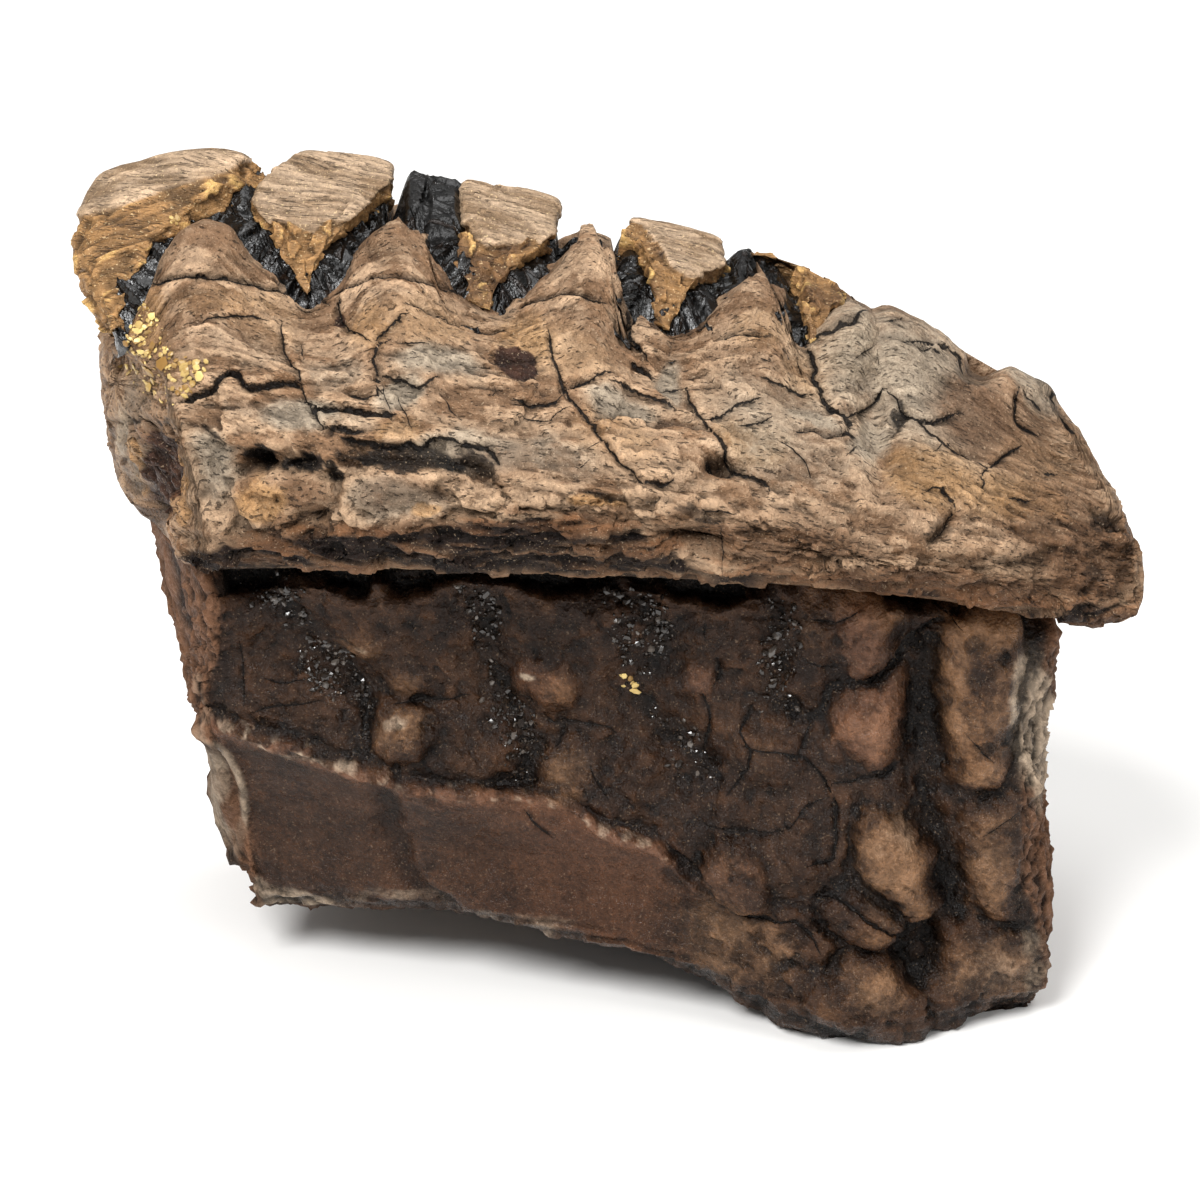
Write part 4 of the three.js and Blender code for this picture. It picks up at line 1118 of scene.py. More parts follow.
CROWN_BLOCKS = (  # outline, how far it stands out, width of its rounded edge
    (((-0.9, 21.9), (1.4, 22.6), (4.9, 22.6), (6.9, 21.6), (9.2, 21.9), (11.6, 21.2), (14, 20.9),
     (15.8, 19.2), (16.1, 17.9), (13.2, 17.8), (13, 16.2), (11.2, 14.5), (9, 15), (6.9, 14.8),
     (5.2, 14.5), (3.9, 16), (2.2, 17.4), (0.4, 19.8)), 0.55, 1.2),
    (((0, 25.6), (1.9, 27), (4, 26.2), (7.5, 25.1), (9.6, 24), (12.5, 23.2), (14, 20.9), (11.6, 21.2),
     (9.2, 21.9), (6.9, 21.6), (4.9, 22.6), (1.4, 22.8), (-1, 22), (-1.9, 23.5)), -0.45, 0.8),
    (((6.9, 29.8), (8.9, 30.4), (10, 28.5), (10.9, 26.6), (11.2, 25.1), (11.8, 24), (9.6, 24.2),
     (7.5, 25.5), (6.6, 28.1)), -0.7, 0.6),
    (((4.2, 34.8), (5.6, 35.2), (7.8, 33.8), (8.9, 32.5), (8.5, 31), (7.2, 30.5), (5.8, 31),
     (4.5, 32.5), (4, 33.8)), 0.6, 1.2),
    (((-27.6, 28.2), (-25.1, 27.6), (-23.8, 26.9), (-22.4, 26.4), (-22.8, 25), (-24.4, 24.2),
     (-26.2, 26), (-27.2, 26.5)), -0.8, 0.6),
    (((-37.4, 26.9), (-35.5, 24), (-33.8, 24), (-29.2, 23.6), (-26.8, 23.5), (-25.8, 22.1), (-25, 20),
     (-29.2, 19.6), (-33.2, 19.9), (-34.6, 21.1), (-35.5, 23.2), (-36.8, 24.9)), 0.4, 0.8),
    (((-37.6, 32), (-35, 31), (-31.9, 30.9), (-28.4, 30), (-27.9, 28.8), (-28, 25.8), (-29.8, 25.6),
     (-31.9, 26.1), (-35.2, 27.1), (-37.2, 28.2)), -0.3, 0.5),
    (((-13.2, 30.5), (-12.4, 31.6), (-10.6, 32.1), (-9.6, 31.4), (-8.4, 30.1), (-7.2, 28.5),
     (-7.4, 27.4), (-9.6, 27.1), (-10.5, 27.9), (-12.4, 28.4), (-13.2, 29.2)), -0.25, 0.5),
    (((36.6, 20.4), (36.2, 22), (37.1, 23.8), (38.1, 24.4), (39, 23), (37.9, 21.5)), -1.2, 0.8),
    (((13.2, 17.8), (14.8, 18.2), (16.4, 18), (16.8, 17), (16, 16.1), (13.6, 16)), -2.4, 0.9),
    (((-46.9, 13.2), (-44.5, 15.5), (-42.2, 16.1), (-39.6, 15.8), (-36.2, 15.8), (-33.6, 14.5),
     (-33.5, 11), (-37.5, 9.8), (-40.1, 9), (-43.9, 8.2), (-45.5, 11)), 1.5, 1.6),
    (((-32.4, 15), (-30, 15.9), (-25, 16.2), (-20, 15.8), (-17.2, 14.2), (-16, 12.5), (-20, 9.9),
     (-23.1, 9.5), (-25.4, 8.5), (-31.4, 9.9), (-32.8, 11.9)), 0.9, 1.4),
    (((-44.6, 16.1), (-44.4, 18.4), (-43.1, 19.4), (-41.8, 18.8), (-41.1, 16.8), (-42.5, 15.9)), -3.2,
     1),
    (((-39.8, 16.5), (-38.8, 18), (-36.5, 18.4), (-35.2, 17.4), (-36, 16.1), (-38, 15.9)), -2.4, 0.9),
    (((-34.9, 16.1), (-33.6, 16.8), (-32.4, 15.2), (-32.8, 14.1), (-34, 14.4)), -1.6, 0.7),
    (((-33, 17.2), (-31.8, 18.8), (-28.8, 18.5), (-25, 18.1), (-21.2, 18.5), (-17.2, 18), (-13.5, 17.2),
     (-12.5, 15.8), (-15, 15.2), (-20, 16.5), (-25, 16.8), (-29.2, 16.8), (-31.9, 16)), -1.3, 0.9),
    (((61, 11.5), (62.5, 11.8), (65.2, 10.9), (66.4, 8.8), (64, 8.8), (62.2, 9.5)), -1.8, 0.9),
    (((40.8, 7.5), (43.1, 10), (44.4, 11), (45, 9.5), (43.5, 7.5), (41.5, 6.5)), -1.6, 0.9),
    (((-31.9, 18.1), (-22.5, 19), (-18.1, 18.5), (-13.8, 16.5), (-12.5, 14.8), (-16.2, 13.5),
     (-18.5, 15.2), (-22.5, 16.2), (-30, 16.2)), 0.3, 0.8),
    (((-18.8, 15), (-16.2, 16.2), (-12.5, 14.5), (-11.8, 12.1), (-13.8, 11), (-17.2, 11.5)), 1, 0.9),
    (((-12.5, 14.2), (-5, 14.8), (2.5, 14.2), (8.5, 13.5), (12.5, 12.5), (11.2, 10.6), (5, 10), (0, 11),
     (-7.5, 11.5), (-11.8, 12)), 0.9, 1.2),
)
BREAK_TOP = (  # upper edge of the broken ledge
    (-51, 23), (-46, 19.4), (-39.6, 18.8), (-36, 19.8), (-31.6, 20.4), (-24.5, 19.8), (-18.9, 20),
    (-15, 18), (-11.8, 14.5), (-3, 14), (6, 13), (12, 12.2), (25, 8.5), (38, 6.5), (52, 5.5), (62, 9),
)
BREAK_FOOT = (  # its lower edge, in rusty layers
    (-51, 7), (-44, 7.5), (-34.4, 9.4), (-27.6, 9), (-19.6, 9.8), (-10.5, 11.2), (-5.4, 10.8), (5, 9),
    (12, 4), (25, 3.4), (38, 2.6), (52, 0), (62, 0),
)
GREY_PLACES = (  # where the stone is grey
    ((-20, 29.2), (5.5, 2), -8, 1), ((-25, 26), (2.8, 1.8), 30, 1), ((2.5, 24.4), (5, 1.8), -20, 0.9),
    ((9, 27.2), (2, 3), 0, 1), ((-16.2, 18.8), (7.5, 2.2), -4, 0.8), ((-5, 18.1), (6.2, 2.2), -6, 0.6),
    ((26.2, 22.5), (3.8, 1.5), -14, 0.9), ((33.8, 20), (3.2, 3.8), -30, 0.9),
    ((37.5, 31.9), (7.5, 3.2), -32, 0.7), ((41.2, 25), (5, 3.2), -30, 0.6),
    ((-25.6, 12.5), (6.8, 2.8), -4, 0.8), ((-37.5, 23.1), (5, 2.2), -4, 1),
    ((-39.4, 23.8), (11.2, 1.5), -4, 0.5), ((53.8, 26.9), (5, 2.2), -45, 0.7),
    ((-33.1, 28.5), (4.2, 2), 8, 0.5), ((-43.8, 31.2), (7.5, 2.5), 0, 0.35),
    ((38, 27.5), (14, 7.5), -32, 0.8), ((23, 21), (12, 7.5), -16, 0.55),
    ((-48.5, 17.5), (2.6, 5.2), 12, 0.8), ((-57.5, 25), (2, 3.6), 0, 0.6),
    ((-58.8, 18.5), (1.8, 5.5), 8, 1),
)
OCHRE_PLACES = (  # where it is ochre
    ((26.5, 28.5), (3.8, 3.8), -30, 0.6), ((31.2, 30), (4.5, 3.2), -30, 0.8),
    ((18.8, 20), (5, 2.5), -20, 1), ((20, 33.8), (3.8, 3.2), 0, 0.5), ((41.2, 15), (6.2, 3.8), -20, 1),
    ((50, 12.5), (7.5, 2.8), -10, 0.9), ((-10, 32.5), (3.8, 3), 0, 0.9),
    ((-28.8, 33.8), (3.2, 3), 0, 0.7), ((1.2, 20), (7.5, 3.2), -20, 0.5),
    ((-46.2, 37.5), (8.8, 2), 0, 0.5), ((-20, 33.8), (8.8, 1.8), 0, 0.4),
    ((-25, 21.2), (3.8, 1.8), -20, 0.7), ((56.2, 10.2), (2.5, 1.2), -10, 1),
)
BROWN_PLACES = (  # where it is brown
    ((51.2, 20), (7.5, 5), -40, 0.6), ((61.9, 5), (6.2, 7.5), -20, 1),
    ((20, 6.9), (16.2, 3.2), -4, 0.8), ((45, 1.2), (16.2, 2.8), -3, 0.9),
    ((-56.2, 16.2), (3.8, 11.2), 0, 0.6), ((-32.5, 7.5), (15, 1.8), 4, 0.9),
    ((-10, 8.8), (15, 1.8), 4, 0.9), ((46.5, 23), (6.5, 5), -35, 0.8), ((-25, 13), (6, 2.6), 0, 0.6),
    ((-13.8, 17.5), (6.2, 2.5), 0, 0.5), ((57, 10), (8, 7), -30, 0.7), ((24, 9), (20, 3), -6, 0.45),
    ((-37.5, 13.1), (3.8, 2.2), 0, 0.7),
)
GOLD_PLACES = (  # where it is gold
    ((-57.2, 35), (3.2, 4.5), 0, 0.7), ((-42.8, 12), (3.2, 2.8), -30, 1), ((-21.5, 11), (2, 1), 15, 1),
    ((0, 12.5), (3.8, 0.9), -6, 0.9), ((-56.2, 28.5), (4.2, 3.2), 0, 0.5),
    ((-53.5, 21.2), (1.2, 3), 0, 0.3), ((-53.2, 14.5), (0.9, 6), 8, 0.9),
    ((-58.4, 17), (0.7, 4.5), 4, 0.8),
)
LIGHT_PLACES = (  # where it is freshly worn and lighter
    ((-22, 34.5), (4.5, 4), 0, 0.9), ((-4.5, 31), (6.5, 3.6), -10, 0.9),
    ((-41.5, 34), (5, 3.6), 0, 0.6), ((54, 16.2), (5.5, 4), -35, 0.7),
    ((-41.5, 12), (4.5, 2.2), 0, 0.6), ((-59.2, 19.5), (1.2, 4.5), 0, 0.9),
)
RED_PLACES = (  # where a dark red plug shows
    ((-10.4, 29.5), (2.8, 2.1), -35, 1), ((-11.8, 30.4), (1.5, 1.4), 0, 0.9),
    ((-32.5, 35.2), (0.8, 0.8), 0, 1), ((-55.8, 15.6), (2, 5.8), 6, 1),
)
# painted shade: the hollows and holes of the crown and ledge are darkened here
HOLE_SHADE_PLACES = (  # where it is black
    ((-43, 17.6), (2, 2), 0, 1), ((-37.5, 17.1), (2.8, 1.4), 0, 1), ((-33.6, 15.5), (1.4, 1.4), 0, 0.9),
    ((-25, 17.5), (8.2, 1.1), -2, 0.85), ((-15, 17), (3.2, 1.2), -30, 0.7), ((15, 16.9), (2, 1), 0, 1),
    ((63.5, 10.1), (2.6, 1.3), -20, 0.55), ((42.6, 8.8), (1.6, 2), -50, 0.5),
    ((37.2, 22.2), (1, 2), -20, 0.8), ((-31.9, 20), (2.8, 0.6), 0, 0.7),
    ((-46.9, 18.5), (2, 1.2), 0, 0.5), ((12.5, 10.6), (2.8, 0.8), -10, 0.7),
    ((62, 3), (1.4, 1), 0, 0.5),
)

# %% Growth layers and the broken ledge
CREST_Z = 104.0  # the grain of the ends is measured down from here
flat = seen(base)
normal = grid_normals(base)
front = facing(normal)
shown = not_behind(normal)
place = wavered(base, flat, 3, 0.45, 111)
right, up = np.moveaxis(place, -1, 0)
lift = raised(place, CROWN_BLOCKS)
swell = swollen(place, SWELLS, 1.35)

down = np.mod(ring_v - CREST_V, crown.round)
foot_v = crown.rail("foot of the folds") - CREST_V
below = np.clip(down - foot_v, 0, None)
growth = down + np.exp(-below / 8) * arch_height(x)
bulge = arch_height(x - 0.5 * below)
lift += 0.14 * bulge * np.exp(-below / 9) * front
break_depth = np.interp(right, *np.array(BREAK_TOP).T) - up
break_left = up - np.interp(right, *np.array(BREAK_FOOT).T)
broken = ease(break_depth / 0.7) * ease(break_left / 0.9 + 0.3)
ledge_rows = ease((down - (crown.rail("broken slope") - CREST_V)) / 3) * front
blocky = ledge_rows * ease(break_depth / 1.2 + 0.3)
lift += blocky * (plates(wavered3(base, 4, 0.8, 121), (7, 5, 2.8), 123, 1.2, 1.3)
                  + plates(wavered3(base, 2, 0.4, 125), (2.6, 2.6, 1.3), 127, 0.55, 0.9))
lift -= 0.6 * broken * ledge_rows
broad = plates(wavered3(base, 5, 1.2, 128), (9, 9, 7), 130, 0.5, 0.9)
lift += (0.6 * fbm(base, (9, 9, 7), 2, 129) + broad) * front
lift = lift * (front > 0) + swell * shown
coarse = push(base, lift)

# %% Scales, pits and cracks of the crown
frame_3d = np.stack([coarse[..., 0], coarse[..., 1] * 0.6, growth], -1)
bent = wavered3(frame_3d, 5, 1.2, 131)
scales = plates(bent, (6.0, 6.0, 2.4), 133, 0.30, 0.42)
small_scales = plates(wavered3(frame_3d, 2, 0.45, 135), (2.4, 2.4, 0.9), 137, 0.16, 0.34)
layers = shingles(-growth, frame_3d, 3.4, 141, 1.5)
fine_layers = shingles(-growth, frame_3d, 1.2, 143, 1.5)
dents = ease((fbm(frame_3d * (0.45, 1, 1), (1.1, 1.1, 0.6), 2, 145) - 0.34) / 0.16)
rugged = ease(0.35 + 1.4 * fbm(base, (9, 9, 6), 2, 147))
side = front * (1 - 0.8 * is_top)
near_fold = np.exp(-np.clip(down - foot_v + 1, 0, None) / 2.5)
quiet = (1 - 0.5 * near_fold) * (0.45 + 0.75 * rugged)
crack, crack_shift = cracked(wavered(base, flat, 1.6, 0.38, 151), CROWN_CRACKS, front)
lamellae = fbm(coarse * (1, 1, 0.2), (5.5, 5.5, 5.5), 3, 161)
ends = np.maximum(ease(-crown_p * 5), ease((crown_p - 1) * 4))
ends = ends[:, None] * np.ones_like(lift)
splinters = fbm(coarse, (2, 2, 11), 3, 163)
fine = (  # mm that the skin moves out: scales and layers, pits, waves, cracks, the back and the ends
    side * quiet * (scales + small_scales + 0.34 * layers * (1 - blocky))
    + side * 0.20 * fine_layers * (1 - blocky)
    - 0.25 * dents * side * quiet
    + 0.16 * fbm(coarse, 2.6, 3, 171) * side * (0.4 + rugged)
    + 0.05 * fbm(coarse, 0.9, 2, 173)
    + crack_shift
    + 0.5 * fbm(base, (9, 9, 1.0), 3, 191) * ease((2 - break_left) / 2) * ledge_rows
    + (1 - shown) * (0.9 * lamellae + 0.25 * fbm(coarse, 1.6, 3, 175))
    + 0.4 * ends * splinters
)
fine = np.where(is_top & (x < FOLDS_END), 0.1 * fine, fine)
crown_grid = push(coarse, fine)
crown_relief = fine - blurred(fine, 3) + 0.3 * (lift - blurred(lift, 8)) * front
print("crown relief, mm:", np.percentile(crown_relief, [1, 99]).round(2))

# %% [markdown]
# ## Stains of the crown
#
# Grey clay, ochre and brown soil soaked into the dentine in patches. Its holes and the step
# under the ledge's broken top edge are darkened with painted shade, and the ledge's underside
# is painted as shade. Noise alone would put them anywhere. So soft ovals say where each colour
# is, and noise frays their rims. Layers of rust under the ledge follow the growth lines.

# %% Where the crown is stained
stained = wavered(base, flat, 5, 1.4, 181)
# a painted shadow line just under the broken ledge's top edge
broken_edge_shadow = 0.9 * bell((break_depth - 0.5) / 0.55) * ledge_rows * ease((14 - right) / 4)
broken_edge_shadow *= ease(0.3 + 1.8 * fbm(base, 3.5, 2, 187))
under_from, under_to = (crown.rail(name) - CREST_V for name in ("ledge, nose", "neck, back"))
tucked_under = ease((down - under_from - 2.5) / 1.5) * (down < under_to)
tucked_under = tucked_under * ease((30 - x) / 12) * ease((x + 49) / 4)
rusty_rows = ease(0.5 + 1.5 * fbm(base, (9, 9, 1.0), 3, 191))
rusty_ledge = 0.9 * rusty_rows * ease((1.5 - break_left) / 2) * ledge_rows
rusty_ends = 0.7 * ends * (1 - 0.6 * shown) * ease((80 - z) / 6)
under_break = ease((-break_left - 0.2) / 1.2) * ledge_rows
grain_down = np.minimum(growth, crown.round - growth)  # the same on both sides of the crest
grain_down = grain_down + ends * (CREST_Z - coarse[..., 2] - grain_down)
fold_edge = 0.45 * bell((ring_v - front_v[:, None]) / 0.4)
fold_edge = fold_edge * ease((FOLDS_END + 3 - x) / 3)
holes = patches(wavered(base, flat, 2.5, 1.5, 185), HOLE_SHADE_PLACES, 0.2)
STAINS = {  # where each colour is, and over what share of a patch it fades
    "grey": (GREY_PLACES, 1.2), "ochre": (OCHRE_PLACES, 1.4), "light": (LIGHT_PLACES, 1.2),
    "brown": (BROWN_PLACES, 1.0), "gold": (GOLD_PLACES, 0.8),
}
crown_fields = {
    "relief": crown_relief,
    "crack": crack,
    **{colour: patches(stained, ovals, soft) * shown for colour, (ovals, soft) in STAINS.items()},
    "red": patches(wavered(base, flat, 2, 0.4, 183), RED_PLACES, 0.15) * shown,
    # black: painted shade in holes and the painted shadow under the broken edge, with a dark line where
    # dentine meets enamel
    "black": np.maximum.reduce([holes, fold_edge, broken_edge_shadow]) * front,
    "shade": np.maximum(under_break, tucked_under) * (1 - 0.55 * rusty_rows),
    "tint": plates(bent, (6.0, 6.0, 2.4), 133, 1.0, 0.0) * front,
    "dull": 1 - shown,
    "rind": (1 - shown) * (1 - 0.7 * ends),
    "rust": np.maximum(rusty_ends, rusty_ledge),
    "grain": np.stack([coarse[..., 0], grain_down, coarse[..., 1]], -1),
}
print("crown fields:", ", ".join(crown_fields))

# %% [markdown]
# ## The enamel
#
# Enamel is the hardest part: a black band about four millimetres thick, folded up and down
# over the plates. It shows between the dentine below and the cement above, and it has broken
# into glossy flakes that run across the band. It could be a swept ribbon, but its thickness
# shows only on the broken side. So it is one skin under the wedges, drawn in a little from
# the outer surface, whose lower edge lies inside the dentine.

# %% Along the band
ENAMEL_ENDS = (-58.9, 31.2)
ENAMEL_ROUND = -0.8  # and how far it goes round the left end's dome
LEFT_END_DRAW = 1.2  # mm further in there
ENAMEL_ROOTED = 2.0  # how far its edge reaches below the dentine's
BLACK_ZONES = (  # x, half width, how much nearer the surface the enamel comes there
    (-41.5, 2.6, 1), (-21, 4.4, 2.6), (3, 1.6, 0.8), (18.3, 3.4, 2.2),
)
SKY_NOTCHES = (  # x, half width, depth
    (-25, 0.75, 6), (-4.6, 0.9, 3), (-2, 2.2, 1.8), (1, 0.7, 5), (-41, 1.8, 1.6), (14.8, 0.6, 0.6),
)

rim_start, rim_end = CROWN_RAILS["chewing face, rim"][0]
enamel_p = (np.linspace(*ENAMEL_ENDS, 300) - rim_start) / (rim_end - rim_start)
enamel_p = np.concatenate([np.linspace(ENAMEL_ROUND, 0, 22, endpoint=False), enamel_p])
crest_v = CREST_V + crown.round
enamel_front = crossings(crown, enamel_p, lambda x: ridge_height(x) - ENAMEL_ROOTED, NECK_V, CREST_V)
enamel_back = crossings(crown, enamel_p, lambda x: back_height(x) - ENAMEL_ROOTED, BACK_V, crest_v)
skin_v = spaced([enamel_front + crown.round, np.full_like(enamel_p, crest_v), enamel_back], [110, 44])
skin_v = np.concatenate([skin_v, enamel_back[:, None]], 1)
base = crown.at(np.broadcast_to(enamel_p[:, None], skin_v.shape), skin_v)
x, y, z = np.moveaxis(base, -1, 0)
normal = np.cross(np.gradient(base, axis=0), np.gradient(base, axis=1))
length = np.linalg.norm(normal, axis=-1, keepdims=True)
normal = np.where(length > 1e-9, normal / np.maximum(length, 1e-9), (0.0, 0.0, 1.0))
normal *= np.sign(normal[..., 2].sum())
above = z - ridge_height(x)
draw = 0.9 + 1.9 * ease((y + 12) / 6)  # mm under the crown's skin, front and face
for middle, half_width, nearer in BLACK_ZONES:
    draw -= nearer * np.exp(-((x - middle) / half_width) ** 4) * ease((y + 13) / 5)
for middle, half_width, deeper in SKY_NOTCHES:
    draw += deeper * bell((x - middle) / half_width) * ease((y + 9) / 6)
draw += LEFT_END_DRAW * ease((-58 - x) / 2)
draw = np.clip(draw, 0.5, None)
step, _, _, along, _ = nearest_line(base[..., [0, 2]], [DENTINE_RIDGE])
band_frame = np.stack([along, np.linalg.norm(step, axis=-1) * 0.3, y * 0.25], -1)
flaked = plates(wavered3(band_frame, 1.5, 0.25, 201), (1.15, 1.6, 1.6), 203, 0.75, 1.5)
chipped = plates(base, (1.5, 1.5, 1.5), 205, 0.4, 1.1)
wrinkles = ridged(base * (1, 0.55, 0.8), 1.1, 2, 207)
fine = 0.8 * flaked + 0.35 * chipped + 0.3 * (wrinkles - 0.5) * ease((y + 12) / 4)
skin = base + normal * (fine - draw)[..., None]
skin[..., 2] = np.where(above < 0, np.minimum(skin[..., 2], z), skin[..., 2])
UNDER_STEPS = 5  # points across the underside, which lies inside the dentine
t = (np.arange(1, UNDER_STEPS + 1) / (UNDER_STEPS + 1))[None, :, None]
underside = skin[:, -1:] * (1 - t) + skin[:, :1] * t
enamel_grid = np.concatenate([skin, underside], 1)
pad = np.zeros((len(enamel_p), UNDER_STEPS))
enamel_fields = {
    "relief": np.concatenate([fine - blurred(fine, 3), pad], 1),
    "grain": np.concatenate([band_frame, np.zeros(underside.shape)], 1),
}
print("enamel lies under the skin by, mm:", np.percentile(draw, [1, 99]).round(1))

# %% [markdown]
# ## The cement wedges
#
# Cement filled the valleys between the folds. Each wedge is a slab that runs over the chewing
# face from the broken side to the back, with a worn, striped top and a rough gold front that
# comes down to a point. A slab's section, a rounded oblong, is carried over the skin of the
# crown, and its width at each step is read from the wedge's own outline.

# %% Outlines of the wedges
WEDGES = (  # how far down from the back edge of the chewing face, and x, of the left and the right side
    (((22, -35.1), (20.3, -36.3), (18.7, -37.6), (17.6, -38.8), (15.7, -39.3), (14, -39.7), (12.3, -41),
      (11.2, -41.9), (9.8, -42), (8.5, -41.6), (7.1, -40.9), (5.2, -39.9), (3.7, -38.5), (1.3, -37.3),
      (-6, -37.2), (-14, -33)),
     ((22, -35.1), (19.9, -34.4), (18.4, -34), (16.7, -33), (15.6, -31.8), (13.8, -30.7), (12.8, -30.4),
      (11.5, -29.2), (9.7, -28), (7.1, -26.8), (5.8, -25.8), (3.6, -25.7), (-6, -26.2), (-14, -33))),
    (((22.6, -13.9), (22.4, -15), (21.5, -16.9), (19.4, -16.9), (17.8, -18.3), (16.1, -18.5),
      (13.1, -17.8), (11.8, -16.8), (8.7, -17), (4.1, -17.5), (2.2, -17.6), (-6, -17.2), (-14, -11.5)),
     ((22.6, -13.9), (21.1, -13.5), (19.2, -12.5), (17, -10.9), (14.4, -8.9), (13.5, -8.3),
      (11.3, -6.5), (9.7, -6.2), (5.5, -6.1), (3.5, -5.6), (-6, -6.2), (-14, -11.5))),
    (((21.8, 7), (21, 5), (19.3, 4.9), (15.7, 4.8), (11.7, 4.2), (7.3, 3.2), (7.2, 1.6), (5.4, 1.9),
      (3.6, 2.5), (-4, 3), (-12, 8)),
     ((21.8, 7), (20.2, 7.9), (17.8, 9.2), (15.5, 10), (14.5, 10.7), (13.1, 11), (12.2, 12.3),
      (9.5, 14), (6.7, 14.2), (4.2, 13.9), (-4, 13.5), (-12, 8))),
    (((20.1, 23.6), (17.7, 23.4), (15.8, 22.7), (13.1, 23.1), (9.3, 23.4), (4.3, 23.2), (3.2, 21.7),
      (3, 16), (-3, 17), (-9, 24)),
     ((20.1, 23.6), (17.3, 26.5), (15.2, 26.3), (12.8, 26.6), (9.7, 27.8), (4.8, 28.3), (1.1, 28),
      (-3, 27.6), (-9, 24))),
)
FIRST_WEDGE = (  # the right side only; its left is the end of the tooth
    (23.2, -58), (21, -57.5), (19.1, -57), (17.6, -56.4), (16.4, -55.6), (15.2, -55.2), (14.6, -54.4),
    (13.6, -52.8), (12, -51.7), (10.9, -50.2), (9.9, -48.5), (8.5, -47.2), (7.2, -45.9), (6.2, -44.9),
    (4.8, -44.5), (3.5, -43.7), (1.6, -44.2), (-4, -44.5), (-12, -52), (-20, -58.5),
)
WORN_EDGES = (  # where the worn top ends and the rough front begins, as seen
    ((-43.8, 50.5), (-42.6, 48.4), (-41.5, 47.2), (-40.9, 48), (-38.8, 47.6), (-37, 46.5), (-35.8, 46),
     (-34.6, 47.4), (-33.4, 48), (-31.6, 47.4), (-31.2, 47.6), (-29.9, 48.6), (-28.6, 50),
     (-27.1, 51.6), (-26, 52.4)),
    ((-18.8, 46), (-16.8, 47), (-16.2, 46.8), (-15.6, 45.8), (-14.1, 44.5), (-11.8, 44.9), (-9.6, 44.9),
     (-9, 45.6), (-7.9, 45.5), (-7.2, 44.5), (-5.8, 45.8), (-4.8, 46.2)),
    ((2.8, 47.2), (5.1, 47.2), (6, 46.2), (6.6, 45.4), (8.1, 43.9), (8.8, 42.2), (10, 41.1),
     (11.6, 40.4), (12.5, 40.4), (12.9, 41.2), (14.2, 41.4), (16, 42.2)),
    ((17.5, 46), (25, 45), (31, 42)),
)
FIRST_WORN_EDGE = (  # the same for the first wedge
    (-65.5, 48), (-63.1, 48.6), (-62.2, 49.1), (-58.8, 49.5), (-56.9, 50.4), (-54.4, 51.8),
    (-52.5, 52.1), (-49, 53), (-46.2, 53.6), (-44.6, 55.2),
)
UMBER = (0.3, 0.35, 1.0, 0.6, 0.9)  # how brown the front of each wedge is
SLAB = 6.0  # thickness in mm
SLAB_SQUARENESS = 9.0
RAIL_LENGTH = 113  # mm, about the length of the crown's rails
CURVE_STEPS = 4000
SECTION_POINTS, SECTION_ASPECT = 150, 1.3
WEDGE_ROWS = 170
LEFT_DOME = -0.72  # how far the first wedge goes round the left end's dome


def unit_section(n, aspect):
    """A rounded oblong by a superellipse, evenly stepped. across runs -1 to 1, and deep runs
    from 0 on the outside to 1."""
    angle = np.linspace(0, 2 * np.pi, CURVE_STEPS)
    count = np.arange(CURVE_STEPS)
    across = np.sign(np.cos(angle)) * np.abs(np.cos(angle)) ** (2 / SLAB_SQUARENESS)
    deep = 0.5 - 0.5 * np.sign(np.sin(angle)) * np.abs(np.sin(angle)) ** (2 / SLAB_SQUARENESS)
    run = np.concatenate([[0], np.cumsum(np.hypot(np.diff(across) * aspect, np.diff(deep)))])
    at = np.interp(np.arange(n) * run[-1] / n, run, count)
    return np.interp(at, count, across), np.interp(at, count, deep)


def side_of(outline, down):
    """p along one side of a wedge, at each distance down from the chewing face's back edge."""
    downs, xs = np.array(outline).T
    x = np.interp(-down, -downs, xs)
    start = crown.loft(np.zeros(len(down)), down)[:, 0]
    end = crown.loft(np.ones(len(down)), down)[:, 0]
    return (x - start) / (end - start)


